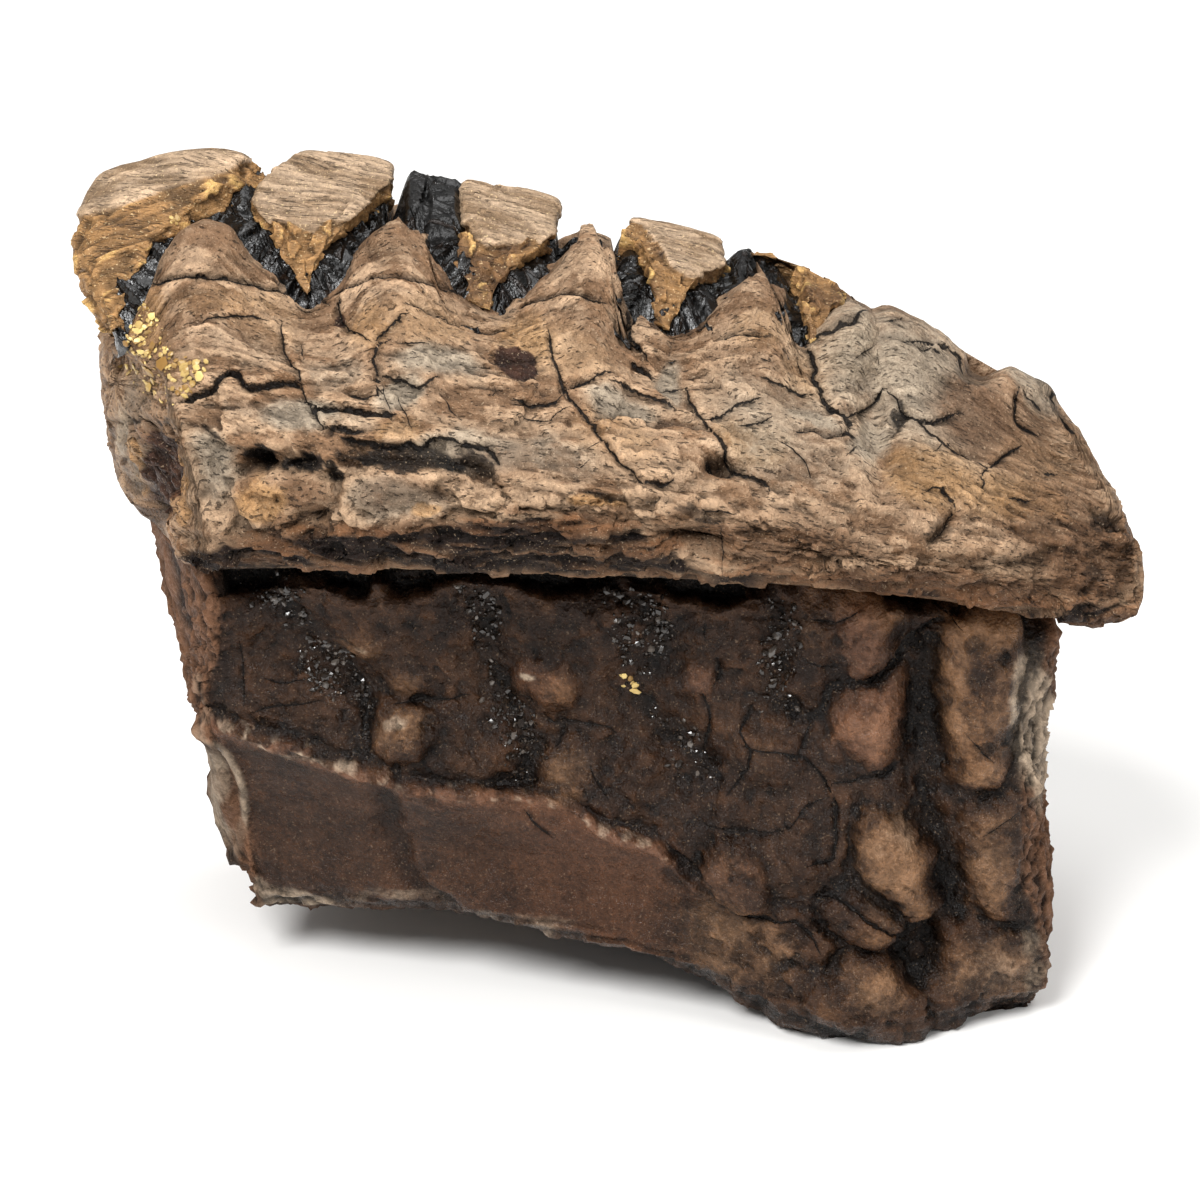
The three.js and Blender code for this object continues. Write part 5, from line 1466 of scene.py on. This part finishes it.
def wedge_grid(left_p, right_p, v, seed, worn_edge, umber, squarer=0.0):
    """The slab between two sides, with its roughness, and the fields of its finish. squarer
    is how many mm its left end is pulled out at the top."""
    rows = len(v)
    wide = (right_p - left_p) * RAIL_LENGTH / 2
    across, deep = unit_section(SECTION_POINTS, SECTION_ASPECT)
    thick = SLAB * np.clip(wide / 2.5, 0.05, 1)
    p = (left_p + right_p)[:, None] / 2 + (right_p - left_p)[:, None] / 2 * across
    outer = crown.at(p, np.broadcast_to(v[:, None], p.shape))
    high = ease((outer[..., 2] - 88) / 9) - ease((92 - outer[..., 2]) / 6)
    outer[..., 0] -= squarer * ease((-54 - outer[..., 0]) / 5) * high
    along = np.gradient(crown.at((left_p + right_p) / 2, v), axis=0)
    sideways = crown.at(right_p, v) - crown.at(left_p, v) + (1e-6, 0, 0)
    inward = np.cross(along, sideways)
    inward /= np.linalg.norm(inward, axis=-1, keepdims=True)
    inward *= -np.sign(inward[rows // 2, 2])
    grid = outer + inward[:, None] * (thick[:, None] * deep)[..., None]
    flat = seen(grid)
    place = wavered(grid, flat, 3, 0.35, seed)
    below = np.interp(place[..., 0], *np.array(worn_edge).T) - place[..., 1]
    rough = ease(below / 0.35) * ease((8 - grid[..., 1]) / 4)
    across_top = grid @ np.array([[1, 0.16, 0.1], [-0.1, 1, 0], [0.2, 0, 1]])
    across_top = wavered3(across_top, 7, 1.0, seed + 1)
    stripes = shingles(across_top[..., 1] + across_top[..., 2], grid, 1.6, seed + 3, 0.8)
    broad = plates(across_top, (7, 2.6, 2.6), seed + 5, 0.35, 0.35)
    crumbs = fbm(grid, 1.3, 3, seed + 7)
    blocks = plates(wavered3(grid, 2, 0.4, seed + 9), (2.0, 2.0, 2.0), seed + 11, 0.9, 1.1)
    fine = (1 - rough) * (0.28 * stripes + broad + 0.08 * crumbs + 0.3 * fbm(grid, 6, 2, seed + 13))
    fine = fine + rough * (0.35 * crumbs + blocks - 0.35)
    fine *= np.clip(wide / 1.5, 0, 1)[:, None]
    grid = push(grid, fine)
    fields = {
        "relief": fine - blurred(fine, 3),
        "gold": rough,
        "tint": plates(across_top, (7, 2.6, 2.6), seed + 5, 1.0, 0.0),
        "umber": rough * np.clip(umber * (0.8 + 1.2 * fbm(grid, 4, 2, seed + 15)), 0, 1),
        # glint: a painted highlight, pale gold on the rough front's raised blocks and crumbs
        "glint": 0.8 * rough * ease((blocks + 0.6 * crumbs - 0.30) / 0.4),
        "grain": np.stack([across_top[..., 0], across_top[..., 1] + across_top[..., 2], grid[..., 2]], -1),
    }
    return grid, fields


wedge_pieces = []
for (left, right), worn_edge, umber in zip(WEDGES, WORN_EDGES, UMBER[1:]):
    down = np.linspace(left[0][0], left[-1][0], WEDGE_ROWS)
    seed = 300 + 20 * len(wedge_pieces)
    sides = side_of(left, down), side_of(right, down)
    wedge_pieces.append(wedge_grid(*sides, down + crown.round, seed, worn_edge, umber))

down = np.linspace(FIRST_WEDGE[0][0], FIRST_WEDGE[-1][0], WEDGE_ROWS)
right_p = side_of(FIRST_WEDGE, down)
t = np.linspace(0, 1, len(down))
left_p = LEFT_DOME * np.clip(np.minimum(t, 1 - t) / 0.16, 0, 1) ** 0.5
left_p = np.minimum(right_p - 0.02, left_p)
first = wedge_grid(left_p, right_p, down + crown.round, 290, FIRST_WORN_EDGE, UMBER[0], squarer=1.4)
wedge_pieces.insert(0, first)
print("wedges:", len(wedge_pieces))

# %% [markdown]
# ## Crystals and gold flecks
#
# Black crystals lie like coarse sand in the furrows of the recess, and small gold lumps sit
# by the first fold. Each is a low lump with a dozen flat faces, turned at random and set on
# a point of the surface that carries it. They are joined in one mesh for each kind.

# %% Lumps on a surface
def lumps(name, spots, normals, sizes, material, seed, flatness=0.8):
    """One mesh of many small stones: each is an icosahedron with its corners moved, scaled
    to its size, turned at random and sunk by a third into its spot."""
    rng = np.random.default_rng(seed)
    golden = (1 + 5**0.5) / 2
    corners = np.array([(-1, golden, 0), (1, golden, 0), (-1, -golden, 0), (1, -golden, 0),
                        (0, -1, golden), (0, 1, golden), (0, -1, -golden), (0, 1, -golden),
                        (golden, 0, -1), (golden, 0, 1), (-golden, 0, -1), (-golden, 0, 1)])
    corners = corners / 1.9  # about one from the middle
    faces = np.array([(0, 11, 5), (0, 5, 1), (0, 1, 7), (0, 7, 10), (0, 10, 11), (1, 5, 9), (5, 11, 4),
                      (11, 10, 2), (10, 7, 6), (7, 1, 8), (3, 9, 4), (3, 4, 2), (3, 2, 6), (3, 6, 8),
                      (3, 8, 9), (4, 9, 5), (2, 4, 11), (6, 2, 10), (8, 6, 7), (9, 8, 1)])
    count = len(spots)
    shape = corners[None] * rng.uniform(0.72, 1.2, (count, 12, 1))
    turn = np.linalg.qr(rng.normal(size=(count, 3, 3)))[0]
    turn *= np.sign(np.linalg.det(turn))[:, None, None]
    shape = np.einsum("nij,nkj->nki", turn, shape * rng.uniform(0.5, 1.35, (count, 1, 3)))
    shape -= normals[:, None] * (np.einsum("nkj,nj->nk", shape, normals) * (1 - flatness))[..., None]
    sizes = sizes[:, None, None]
    shape = shape * sizes / 2 + spots[:, None] + normals[:, None] * sizes * 0.12
    everything = (faces[None] + 12 * np.arange(count)[:, None, None]).reshape(-1, 3)
    mesh = bpy.data.meshes.new(name)
    mesh.from_pydata((shape.reshape(-1, 3) + SHIFT) * MM, [], everything.tolist())
    mesh.shade_flat()
    tone = mesh.attributes.new("tone", "FLOAT", "POINT")
    tone.data.foreach_set("value", np.repeat(rng.random(count), 12).astype(np.float32))
    put_in_scene(name, mesh, material)
    print(f"{name}: {count} lumps")

# %% [markdown]
# ## Finishes
#
# All four tissues are mineral now, so none is metal and all have the refraction of stone.
# What tells them apart is colour and polish: dentine is matt and tan, roots are dark brown
# with a soft shine, cement is pale and dusty, and enamel is black and glossy like flint. They
# could be four separate node trees. One recipe with different amounts is shorter, and keeps
# the four alike where they meet: a streaky base colour, coats of other colours where the
# mesh's attributes say, flakes, dark gaps and cracks, painted shade in hollows and painted
# highlight on edges from the relief, and pale specks that are partly painted glints.

# %% Patterns that all the tissues share
METRE_MM = 1000.0


def noises(tree, stretch):
    """The growth lines' own place, the same drawn out by stretch, and four noises: streaks
    along the growth lines, mottle one or two to a centimetre, and grit and dust, which are
    drawn at 0.7 and 0.3 mm, because finer grains don't show at this distance."""
    place = add(tree, "TexCoord", out="Object")
    place = add(tree, "VectorMath", {0: place, 1: (METRE_MM,) * 3}, operation="MULTIPLY")
    grain = add(tree, "Attribute", out="Vector", attribute_name="grain")
    drawn = add(tree, "VectorMath", {0: grain, 1: stretch}, operation="MULTIPLY")
    amounts = (  # where it is read, how many to a mm, detail, roughness
        (drawn, 0.45, 5.0, 0.6), (place, 0.16, 5.0, 0.62), (place, 1.5, 3.0, 0.72), (place, 3.4, 1.0, 0.5),
    )
    return grain, drawn, *(
        add(tree, "TexNoise", {"Vector": at, "Scale": scale, "Detail": detail, "Roughness": rough})
        for at, scale, detail, rough in amounts)


def summed(tree, total, *terms):
    """The total plus each value times its weight."""
    for value, weight in terms:
        total = add(tree, "Math", {0: value, 1: weight, 2: total}, operation="MULTIPLY_ADD")
    return total


def painted(tree, colour, *coats):
    """The colour with each coat over it, as thick as the coat's mask says."""
    for mask, code in coats:
        colour = add(tree, "Mix", {0: mask, 6: colour, 7: linear(code)}, out=2, data_type="RGBA")
    return colour


def flake_cells(tree, grain, size):
    """Flakes that each have the cell of one scattered centre, with bent outlines. Gives the
    place in units of the flake's size, the lean of the flake there, which is its random slope
    times the way from its centre, and two random numbers of its own."""
    warp = add(tree, "TexNoise", {"Vector": grain, "Scale": 0.9 / size[1], "Detail": 2.0}, out="Color")
    at = add(tree, "VectorMath", {0: grain, 1: tuple(1 / n for n in size)}, operation="MULTIPLY")
    at = add(tree, "VectorMath", {0: warp, 1: (0.9,) * 3, 2: at}, operation="MULTIPLY_ADD")
    centre = add(tree, "TexVoronoi", {"Vector": at, "Scale": 1.0}, out="Position")
    own = centre.node.outputs["Color"]
    away = add(tree, "VectorMath", {0: at, 1: centre}, operation="SUBTRACT")
    slope = add(tree, "VectorMath", {0: own, 1: (0.5,) * 3}, operation="SUBTRACT")
    lean = add(tree, "VectorMath", {0: away, 1: slope}, out="Value", operation="DOT_PRODUCT")
    chance = add(tree, "SeparateColor", {0: own})
    other = add(tree, "Math", {0: chance.node.outputs[1], 1: 0.5}, operation="SUBTRACT")
    return at, lean, chance, other

# %% One recipe for fossil tissue
GAP_BROWN = "#1d120a"  # dark brown laid between flakes and in pits
CRACK_BLACK = "#0e0805"


def fossil(name, dark, light, coats, polish, shine, stretch=(0.5, 1.6, 1.0), streak=0.3, contrast=1.0,
           grit_mm=0.3, tinted=0.2, flakes=(), pits=0.0, speck=("#c9a98c", 0.4), has_cracks=True,
           ragged=0.9):
    """dark and light are the base's two colours. coats maps an attribute to a colour and a
    strength, and ragged says how much their edges follow the mottle. polish is the roughness
    of hollows and of grains that stand out, to which the mesh's dull adds, and shine is the
    specular level. stretch draws the pattern out along the growth lines, and streak says how
    much of the colour follows it. contrast says how much paler edges are than hollows, which
    is painted highlight and painted shade from the relief, and tinted how much the colour
    changes from flake to flake of the mesh. Each of the flakes is a size along the three axes
    of the growth lines, a step and a slope, all in mm, how much its colour varies and how dark
    the cracks between are. pits are short dark dents. speck is the colour and strength of the
    small pale grains, which also stand in for painted glints."""
    material, tree, shader = new_material(name)
    grain, drawn, streaks, mottle, grit, dust = noises(tree, stretch)
    relief, tint, dull = (add(tree, "Attribute", out="Fac", attribute_name=label)
                          for label in ("relief", "tint", "dull"))
    tone = summed(tree, 0.0, (mottle, 1 - streak), (streaks, streak), (tint, tinted))
    height = summed(tree, 0.0, (grit, grit_mm), (streaks, 0.6 * streak), (dust, 0.25 * grit_mm))
    gaps = []
    for size, step, slope, varied, gap_dark in flakes:
        at, lean, chance, other = flake_cells(tree, grain, size)
        height = summed(tree, height, (lean, slope), (chance, step))
        tone = summed(tree, tone, (other, varied))
        if gap_dark:
            edge = add(tree, "TexVoronoi", {"Vector": at, "Scale": 1.0}, feature="DISTANCE_TO_EDGE")
            edge = summed(tree, edge, (mottle, 0.5))
            gap = {"Value": edge, "From Min": 0.28, "From Max": 0.23, "To Max": gap_dark}
            gaps.append(add(tree, "MapRange", gap))

    base = {"Value": tone, "From Min": 0.36, "From Max": 0.64}
    base = add(tree, "MapRange", base, interpolation_type="SMOOTHSTEP")
    colour = painted(tree, linear(dark), (base, light))
    rough_edge = summed(tree, 0.45 - 0.5 * ragged, (mottle, ragged), (grit, 0.5))
    for label, (code, strength) in coats.items():
        mask = add(tree, "Attribute", out="Fac", attribute_name=label)
        mask = add(tree, "Math", {0: rough_edge, 1: mask}, operation="ADD")
        mask = {"Value": mask, "From Min": 0.85, "From Max": 1.65, "To Max": strength}
        mask = add(tree, "MapRange", mask, interpolation_type="SMOOTHSTEP")
        colour = painted(tree, colour, (mask, code))
    shades = (  # value, where it is dark and where pale, times how much
        (streaks, 0.3, 0.7, 1 - 0.6 * streak, 1 + 0.5 * streak),
        (grit, 0.3, 0.7, 0.76, 1.24),
        # painted shade in hollows and painted highlight on raised edges, read from the mesh's relief
        (relief, -0.3, 0.28, 1 - 0.6 * contrast, 1 + 0.5 * contrast),
    )
    for value, low, high, darkest, palest in shades:
        shade = {"Value": value, "From Min": low, "From Max": high, "To Min": darkest, "To Max": palest}
        shade = add(tree, "MapRange", shade)
        colour = add(tree, "Mix", {0: 1.0, 6: colour, 7: shade}, out=2, data_type="RGBA",
                     blend_type="MULTIPLY")
    speck_code, speck_strength = speck
    # pale specks: small grains that also stand in for painted glints
    specks = {"Value": dust, "From Min": 0.66, "From Max": 0.72, "To Max": speck_strength}
    colour = painted(tree, colour, (add(tree, "MapRange", specks), speck_code))

    if pits:
        dents = {"Vector": drawn, "Scale": 2.0, "Detail": 2.0, "Roughness": 0.55}
        dents = summed(tree, add(tree, "TexNoise", dents), (mottle, 0.3))
        dents = {"Value": dents, "From Min": 0.77, "From Max": 0.83, "To Max": pits}
        gaps.append(add(tree, "Math", {0: add(tree, "MapRange", dents), 1: 0.8}, operation="MULTIPLY"))
    for gap in gaps:
        colour = painted(tree, colour, (gap, GAP_BROWN))
        height = summed(tree, height, (gap, -0.5))
    if has_cracks:
        steps = add(tree, "Attribute", out="Vector", attribute_name="crack")
        steps = add(tree, "VectorMath", {0: steps}, out="Value", operation="LENGTH")
        steps = summed(tree, steps, (grit, 2.6))
        crack = {"Value": steps, "From Min": 2.4, "From Max": 1.9, "To Max": 0.95}
        crack = add(tree, "MapRange", crack)
        colour = painted(tree, colour, (crack, CRACK_BLACK))
        height = summed(tree, height, (crack, -0.6))
    gloss = {"Value": grit, "From Min": 0.38, "From Max": 0.62, "To Min": polish[0], "To Max": polish[1]}
    gloss = summed(tree, add(tree, "MapRange", gloss), (dull, 0.45))
    bump = add(tree, "Bump", {"Height": height, "Distance": MM, "Strength": 1.0})
    tree.links.new(colour, shader.inputs["Base Color"])
    tree.links.new(gloss, shader.inputs["Roughness"])
    tree.links.new(bump, shader.inputs["Normal"])
    shader.inputs["Specular IOR Level"].default_value = shine
    return material

# %% The four tissues
# Roots: iron-stained stone, rubbed by hands. Low knobs are pink and tan, and grains glint, with pale specks
# that are painted glints.
root_finish = fossil(
    "root stone, worn and damp-looking", "#1d1008", "#352215",
    {"worn": ("#6a4c33", 0.75), "pink": ("#624433", 0.65), "tan": ("#6e523b", 0.75),
     "band": ("#523320", 0.75), "pale": ("#93826f", 0.85), "rust": ("#634633", 0.75),
     "rind": ("#6a5644", 0.75), "black": ("#130b06", 0.85)},
    polish=(0.5, 0.15), shine=0.2, stretch=(1, 1, 1), streak=0.2, contrast=1.3, grit_mm=0.45, tinted=0.14,
    speck=("#c9ab8c", 0.14), ragged=0.5, flakes=(((1.9, 1.4, 1.9), 0.25, 0.9, 0.10, 0.0),))

# Dentine: chalky and tan, matt, with pits and thin flakes that lie along its layers.
dentine_finish = fossil(
    "fossil dentine, broken along its layers", "#755941", "#a2866b",
    {"light": ("#b5936f", 0.42), "ochre": ("#957148", 0.6), "grey": ("#988b79", 0.85),
     "brown": ("#5c412c", 0.9), "gold": ("#a07a50", 0.7), "red": ("#3a251b", 1.0), "rust": ("#67452b", 0.8),
     "rind": ("#6e5844", 0.7), "shade": ("#180a03", 1.0), "black": ("#120d0a", 0.95)},
    polish=(0.65, 0.42), shine=0.22, streak=0.15, grit_mm=0.62, tinted=0.25, speck=("#d8bd9c", 0.3),
    pits=0.9, flakes=(((2.2, 0.8, 1.5), 0.28, 1.0, 0.14, 0.0),))

# Cement: pale and striped where it is worn, rough and golden where it broke, with painted gold glints on
# the bits that stand out.
cement_finish = fossil(
    "fossil cement, worn smooth on top", "#82694f", "#a78e74",
    {"gold": ("#8f6a40", 0.95), "umber": ("#4f3520", 0.75), "glint": ("#d6b06c", 0.5)},
    polish=(0.65, 0.4), shine=0.3, stretch=(0.25, 2.0, 1.0), streak=0.4, contrast=0.9, grit_mm=0.4,
    speck=("#f4d6a4", 0.45), pits=0.7, flakes=(((4, 1.0, 2), 0.2, 0.5, 0.1, 0.0),), has_cracks=False)

# Enamel: black and dense, so its flakes have sharp edges and faces that mirror the light.
enamel_finish = fossil(
    "fossil enamel, flaked like flint", "#080706", "#12100f", {}, polish=(0.26, 0.09), shine=0.45,
    stretch=(1, 1, 1), streak=0.2, contrast=0.8, grit_mm=0.15, speck=("#4a4541", 0.3),
    flakes=(((1.1, 1.8, 1.8), 0.5, 1.6, 0.2, 0.8),), has_cracks=False)

# %% Place the tissues
make_piece("root_mass", root_grid, root_finish, root_fields)
make_piece("dentine_crown", crown_grid, dentine_finish, crown_fields)
make_piece("enamel_folds", enamel_grid, enamel_finish, enamel_fields)
for number, (grid, fields) in enumerate(wedge_pieces, 1):
    make_piece(f"cement_wedge_{number}", grid, cement_finish, fields)

# %% Black crystals in the furrows
# Black crystal, grown with flat faces: each grain flashes where a face mirrors a softbox.
crystal, tree, shader = new_material("black crystal, natural faces")
tone = add(tree, "Attribute", out="Fac", attribute_name="tone")
tone = add(tree, "MapRange", {"Value": tone, "From Min": 0.8, "From Max": 1.0})
tone = painted(tree, linear("#221a14"), (tone, "#6a625b"))
tree.links.new(tone, shader.inputs["Base Color"])
shader.inputs["Roughness"].default_value = 0.15
shader.inputs["IOR"].default_value = 1.6
rng = np.random.default_rng(7)
CRYSTAL_SHARE = 0.3  # of the points of the skin, where they are thickest
root_seen = seen(root_grid)
root_normal = grid_normals(root_grid)
CLUSTERS = (  # where crystals are thick
    ((-40.5, 1), (3.6, 2.4), 0, 1), ((-34, -8.5), (3.4, 4.4), 40, 1), ((-11, -15.5), (2.8, 5.5), 25, 1),
    ((5.2, -4), (4.2, 5.4), 0, 1), ((22.2, -7.5), (2.6, 6.2), -10, 1),
    ((-14.5, -2.5), (2.2, 4.5), 0, 0.9), ((11, -19), (3.4, 3.2), -30, 0.9),
)
chance = np.maximum(0.5 * bell(groove / 1.3), patches(root_seen, CLUSTERS, 0.8) ** 2) * facing(root_normal)
picked = np.flatnonzero(rng.random(chance.size) < chance.ravel() * CRYSTAL_SHARE)
lumps("crystal_grains", root_grid.reshape(-1, 3)[picked], root_normal.reshape(-1, 3)[picked],
      0.3 + 0.85 * rng.random(len(picked)) ** 2.6, crystal, 17)

# %% Gold lumps
# Ochre crust, dried from mud: yellow and waxy, so it has a soft shine but is no metal.
gold, tree, shader = new_material("yellow ochre crust, waxy")
tone = add(tree, "Attribute", out="Fac", attribute_name="tone")
tone = painted(tree, linear("#84602c"), (tone, "#dcc07a"))
tree.links.new(tone, shader.inputs["Base Color"])
shader.inputs["Roughness"].default_value = 0.35
GOLD_LUMPS = (  # place as seen, size in mm
    ((-58.4, 28.6), 2.4), ((-56, 28.4), 2.6), ((-55.2, 26.8), 2), ((-53, 29.4), 2.2),
    ((-52.6, 27.4), 2.4), ((-52.2, 25.8), 1.6), ((-57, 30.6), 1.5), ((-57.8, 33.6), 1.6),
    ((-56.6, 34.6), 1.4), ((-58.8, 31.6), 1.2), ((-50.6, 28.4), 1.4), ((-54.6, 31), 1.2),
    ((-50, 28.8), 2),
)
NUGGETS = ((wedge_pieces[0][0], (-53.0, 47.4), 1.5), (root_grid, (3.4, -10.0), 2.2))
CRUST_PLACES = (  # where small ones are thick
    ((-57.2, 34), (2.6, 4), 0, 1), ((-54.6, 28.6), (4, 3.4), 0, 0.45),
)
PARTS = 7  # each larger lump is a heap of these
SPREAD = 0.32  # how far they lie about its middle, in sizes of the lump
HIDDEN = 50  # mm added where the skin is turned away, so that no part lands there


class Spots:
    """The points of a skin, as seen from the camera, with a list of those that carry a lump."""

    def __init__(self, grid):
        self.points = grid.reshape(-1, 3)
        self.normals = grid_normals(grid).reshape(-1, 3)
        self.flat = seen(self.points)
        self.turned = facing(self.normals)
        self.picked, self.sizes = [], []

    def heap(self, place, size):
        """Parts of a lump, each at the point that is seen nearest to its place."""
        for _ in range(PARTS):
            at = np.array(place) + rng.normal(size=2) * size * SPREAD
            distance = np.linalg.norm(self.flat - at, axis=-1) + HIDDEN * (self.turned < 0.1)
            self.picked.append(np.argmin(distance))
            self.sizes.append(size * rng.uniform(0.25, 0.65))


crown_spots = Spots(crown_grid)
for place, size in GOLD_LUMPS:
    crown_spots.heap(place, size)
chance = 0.07 * patches(crown_spots.flat, CRUST_PLACES, 0.8) * crown_spots.turned
crust = np.flatnonzero(rng.random(len(chance)) < chance)
crown_spots.picked.extend(crust)
crown_spots.sizes.extend(0.25 + 0.8 * rng.random(len(crust)) ** 3)
heaps = [crown_spots]
for grid, place, size in NUGGETS:
    heaps.append(Spots(grid))
    heaps[-1].heap(place, size)
lumps("gold_crust", np.concatenate([spots.points[spots.picked] for spots in heaps]),
      np.concatenate([spots.normals[spots.picked] for spots in heaps]),
      np.concatenate([spots.sizes for spots in heaps]), gold, 23, flatness=0.35)
